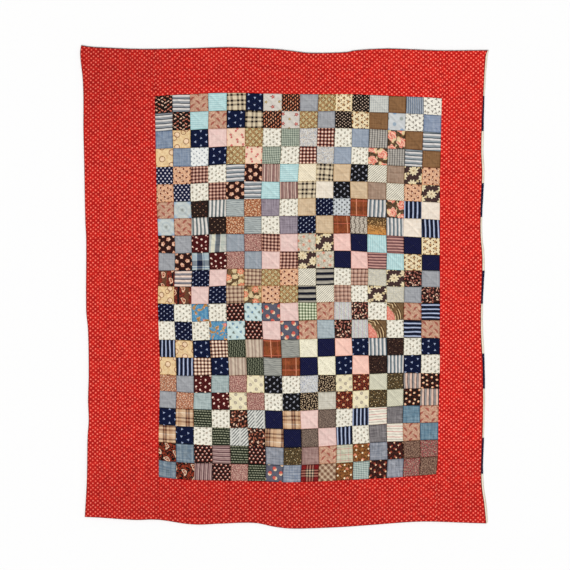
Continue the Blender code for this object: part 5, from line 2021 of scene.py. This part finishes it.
# ---------------------------------------------------------------- quilting stitches
def stitches(name, places, direction, thread):
    """Running stitches at grid places (s, t), each along its own direction in the grid."""
    s, t = places
    ds, dt = direction
    long_, wide = 1.3 / PATCH / 1.414, 0.11 / PATCH / 1.414
    length = np.hypot(ds, dt)
    ds, dt = ds / length * 1.414, dt / length * 1.414
    wander = 0.5 / PATCH * (dice(np.arange(len(s)), np.arange(len(s)) * 0 + 3, 91) - 0.5)
    s, t = s - dt * wander, t + ds * wander
    corners = []
    for along_, across_, up in ((-1, 0, -0.03), (1, 0, -0.03), (0, -1, 0.07), (0, 1, 0.07)):
        cs = s + ds * long_ * along_ - dt * wide * across_
        ct = t + dt * long_ * along_ + ds * wide * across_
        x, y = plan(cs, ct)
        corners.append(np.stack([x, y, relief(cs, ct) + up * MM], 1))
    # Each stitch dips into the cloth at both ends and lies over it in the middle.
    verts = np.stack(corners, 1).reshape(-1, 3)
    first = np.arange(len(s))[:, None] * 4
    tris = np.concatenate([first + np.array(f) for f in ((0, 2, 3), (1, 3, 2), (0, 1, 2), (1, 0, 3))])
    mesh = bpy.data.meshes.new(name)
    mesh.from_pydata(verts.tolist(), [], tris.tolist())
    mesh.polygons.foreach_set("use_smooth", [False] * len(tris))
    grid = np.stack([np.repeat(s, 4), np.repeat(t, 4)], 1)
    write_maps(mesh, grid, lambda places_, centre: places_ * PATCH * MM)
    mesh.update()
    obj = bpy.data.objects.new(name, mesh)
    quilt.objects.link(obj)
    obj.data.materials.append(thread)
    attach(obj, "root")
    return obj


def thread_material(name, light, dark):
    if name not in MATERIALS:
        k = Cloth(name)
        twist = k.noise(0.7, 1.0, stretch=(1, 0.4), seed=43)
        colour = k.blend(rgb(*light), rgb(*dark), twist)
        k.put(k.shader.inputs["Base Color"], colour)
        bump = k.node("ShaderNodeBump")
        bump.inputs["Distance"].default_value = 0.0001
        k.put(bump.inputs["Height"], twist)
        k.tree.links.new(bump.outputs[0], k.shader.inputs["Normal"])
        k.put(k.shader.inputs["Roughness"], k.math("MULTIPLY_ADD", twist, 0.2, 0.65))
        k.shader.inputs["Specular IOR Level"].default_value = 0.3
        MATERIALS[name] = k.mat
    return MATERIALS[name]


def make_stitches():
    pitch = 4.7 / PATCH / 1.414
    s_all, t_all, a_all, b_all = [], [], [], []
    for n in range(1, COLUMNS + ROWS):                     # s + t = n, rising to the right
        s = np.arange(max(0, n - ROWS) + pitch * 0.6, min(COLUMNS, n) - pitch * 0.5, pitch)
        s_all.append(s); t_all.append(n - s)
        a_all.append(np.ones_like(s)); b_all.append(-np.ones_like(s))
    for n in range(1 - ROWS, COLUMNS):                     # s - t = n, falling to the right
        s = np.arange(max(0, n) + pitch * 0.6, min(COLUMNS, ROWS + n) - pitch * 0.5, pitch)
        s_all.append(s); t_all.append(s - n)
        a_all.append(np.ones_like(s)); b_all.append(np.ones_like(s))
    field = stitches("quilting_stitches_field", (np.concatenate(s_all), np.concatenate(t_all)),
                     (np.concatenate(a_all), np.concatenate(b_all)),
                     thread_material("quilting_thread", (168, 158, 144), (132, 122, 108)))
    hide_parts("patchwork_field")

    s_all, t_all = [], []
    for s0, s1, t0, t1 in ((LEFT, 0, HEAD, FOOT), (COLUMNS, RIGHT, HEAD, FOOT),
                           (0, COLUMNS, HEAD, 0), (0, COLUMNS, ROWS, FOOT)):
        clear = 0.09
        a = math.ceil((s0 + t0) * 2) / 2
        while a < s1 + t1:
            lo, hi = max(s0 + clear, a - t1 + clear), min(s1 - clear, a - t0 - clear)
            if hi - lo > pitch * 2:
                s = np.arange(lo, hi, pitch)
                s_all.append(s); t_all.append(a - s)
            a += 0.5
    s, t = np.concatenate(s_all), np.concatenate(t_all)
    # Here the thread has taken the red of the cloth.
    border = stitches("quilting_stitches_border", (s, t), (np.ones_like(s), -np.ones_like(s)),
                      thread_material("quilting_thread_stained", (216, 88, 74), (186, 58, 48)))
    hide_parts("border_left", "border_right", "border_top", "border_bottom")


make_backing()
make_blocks()
make_borders()
make_stitches()
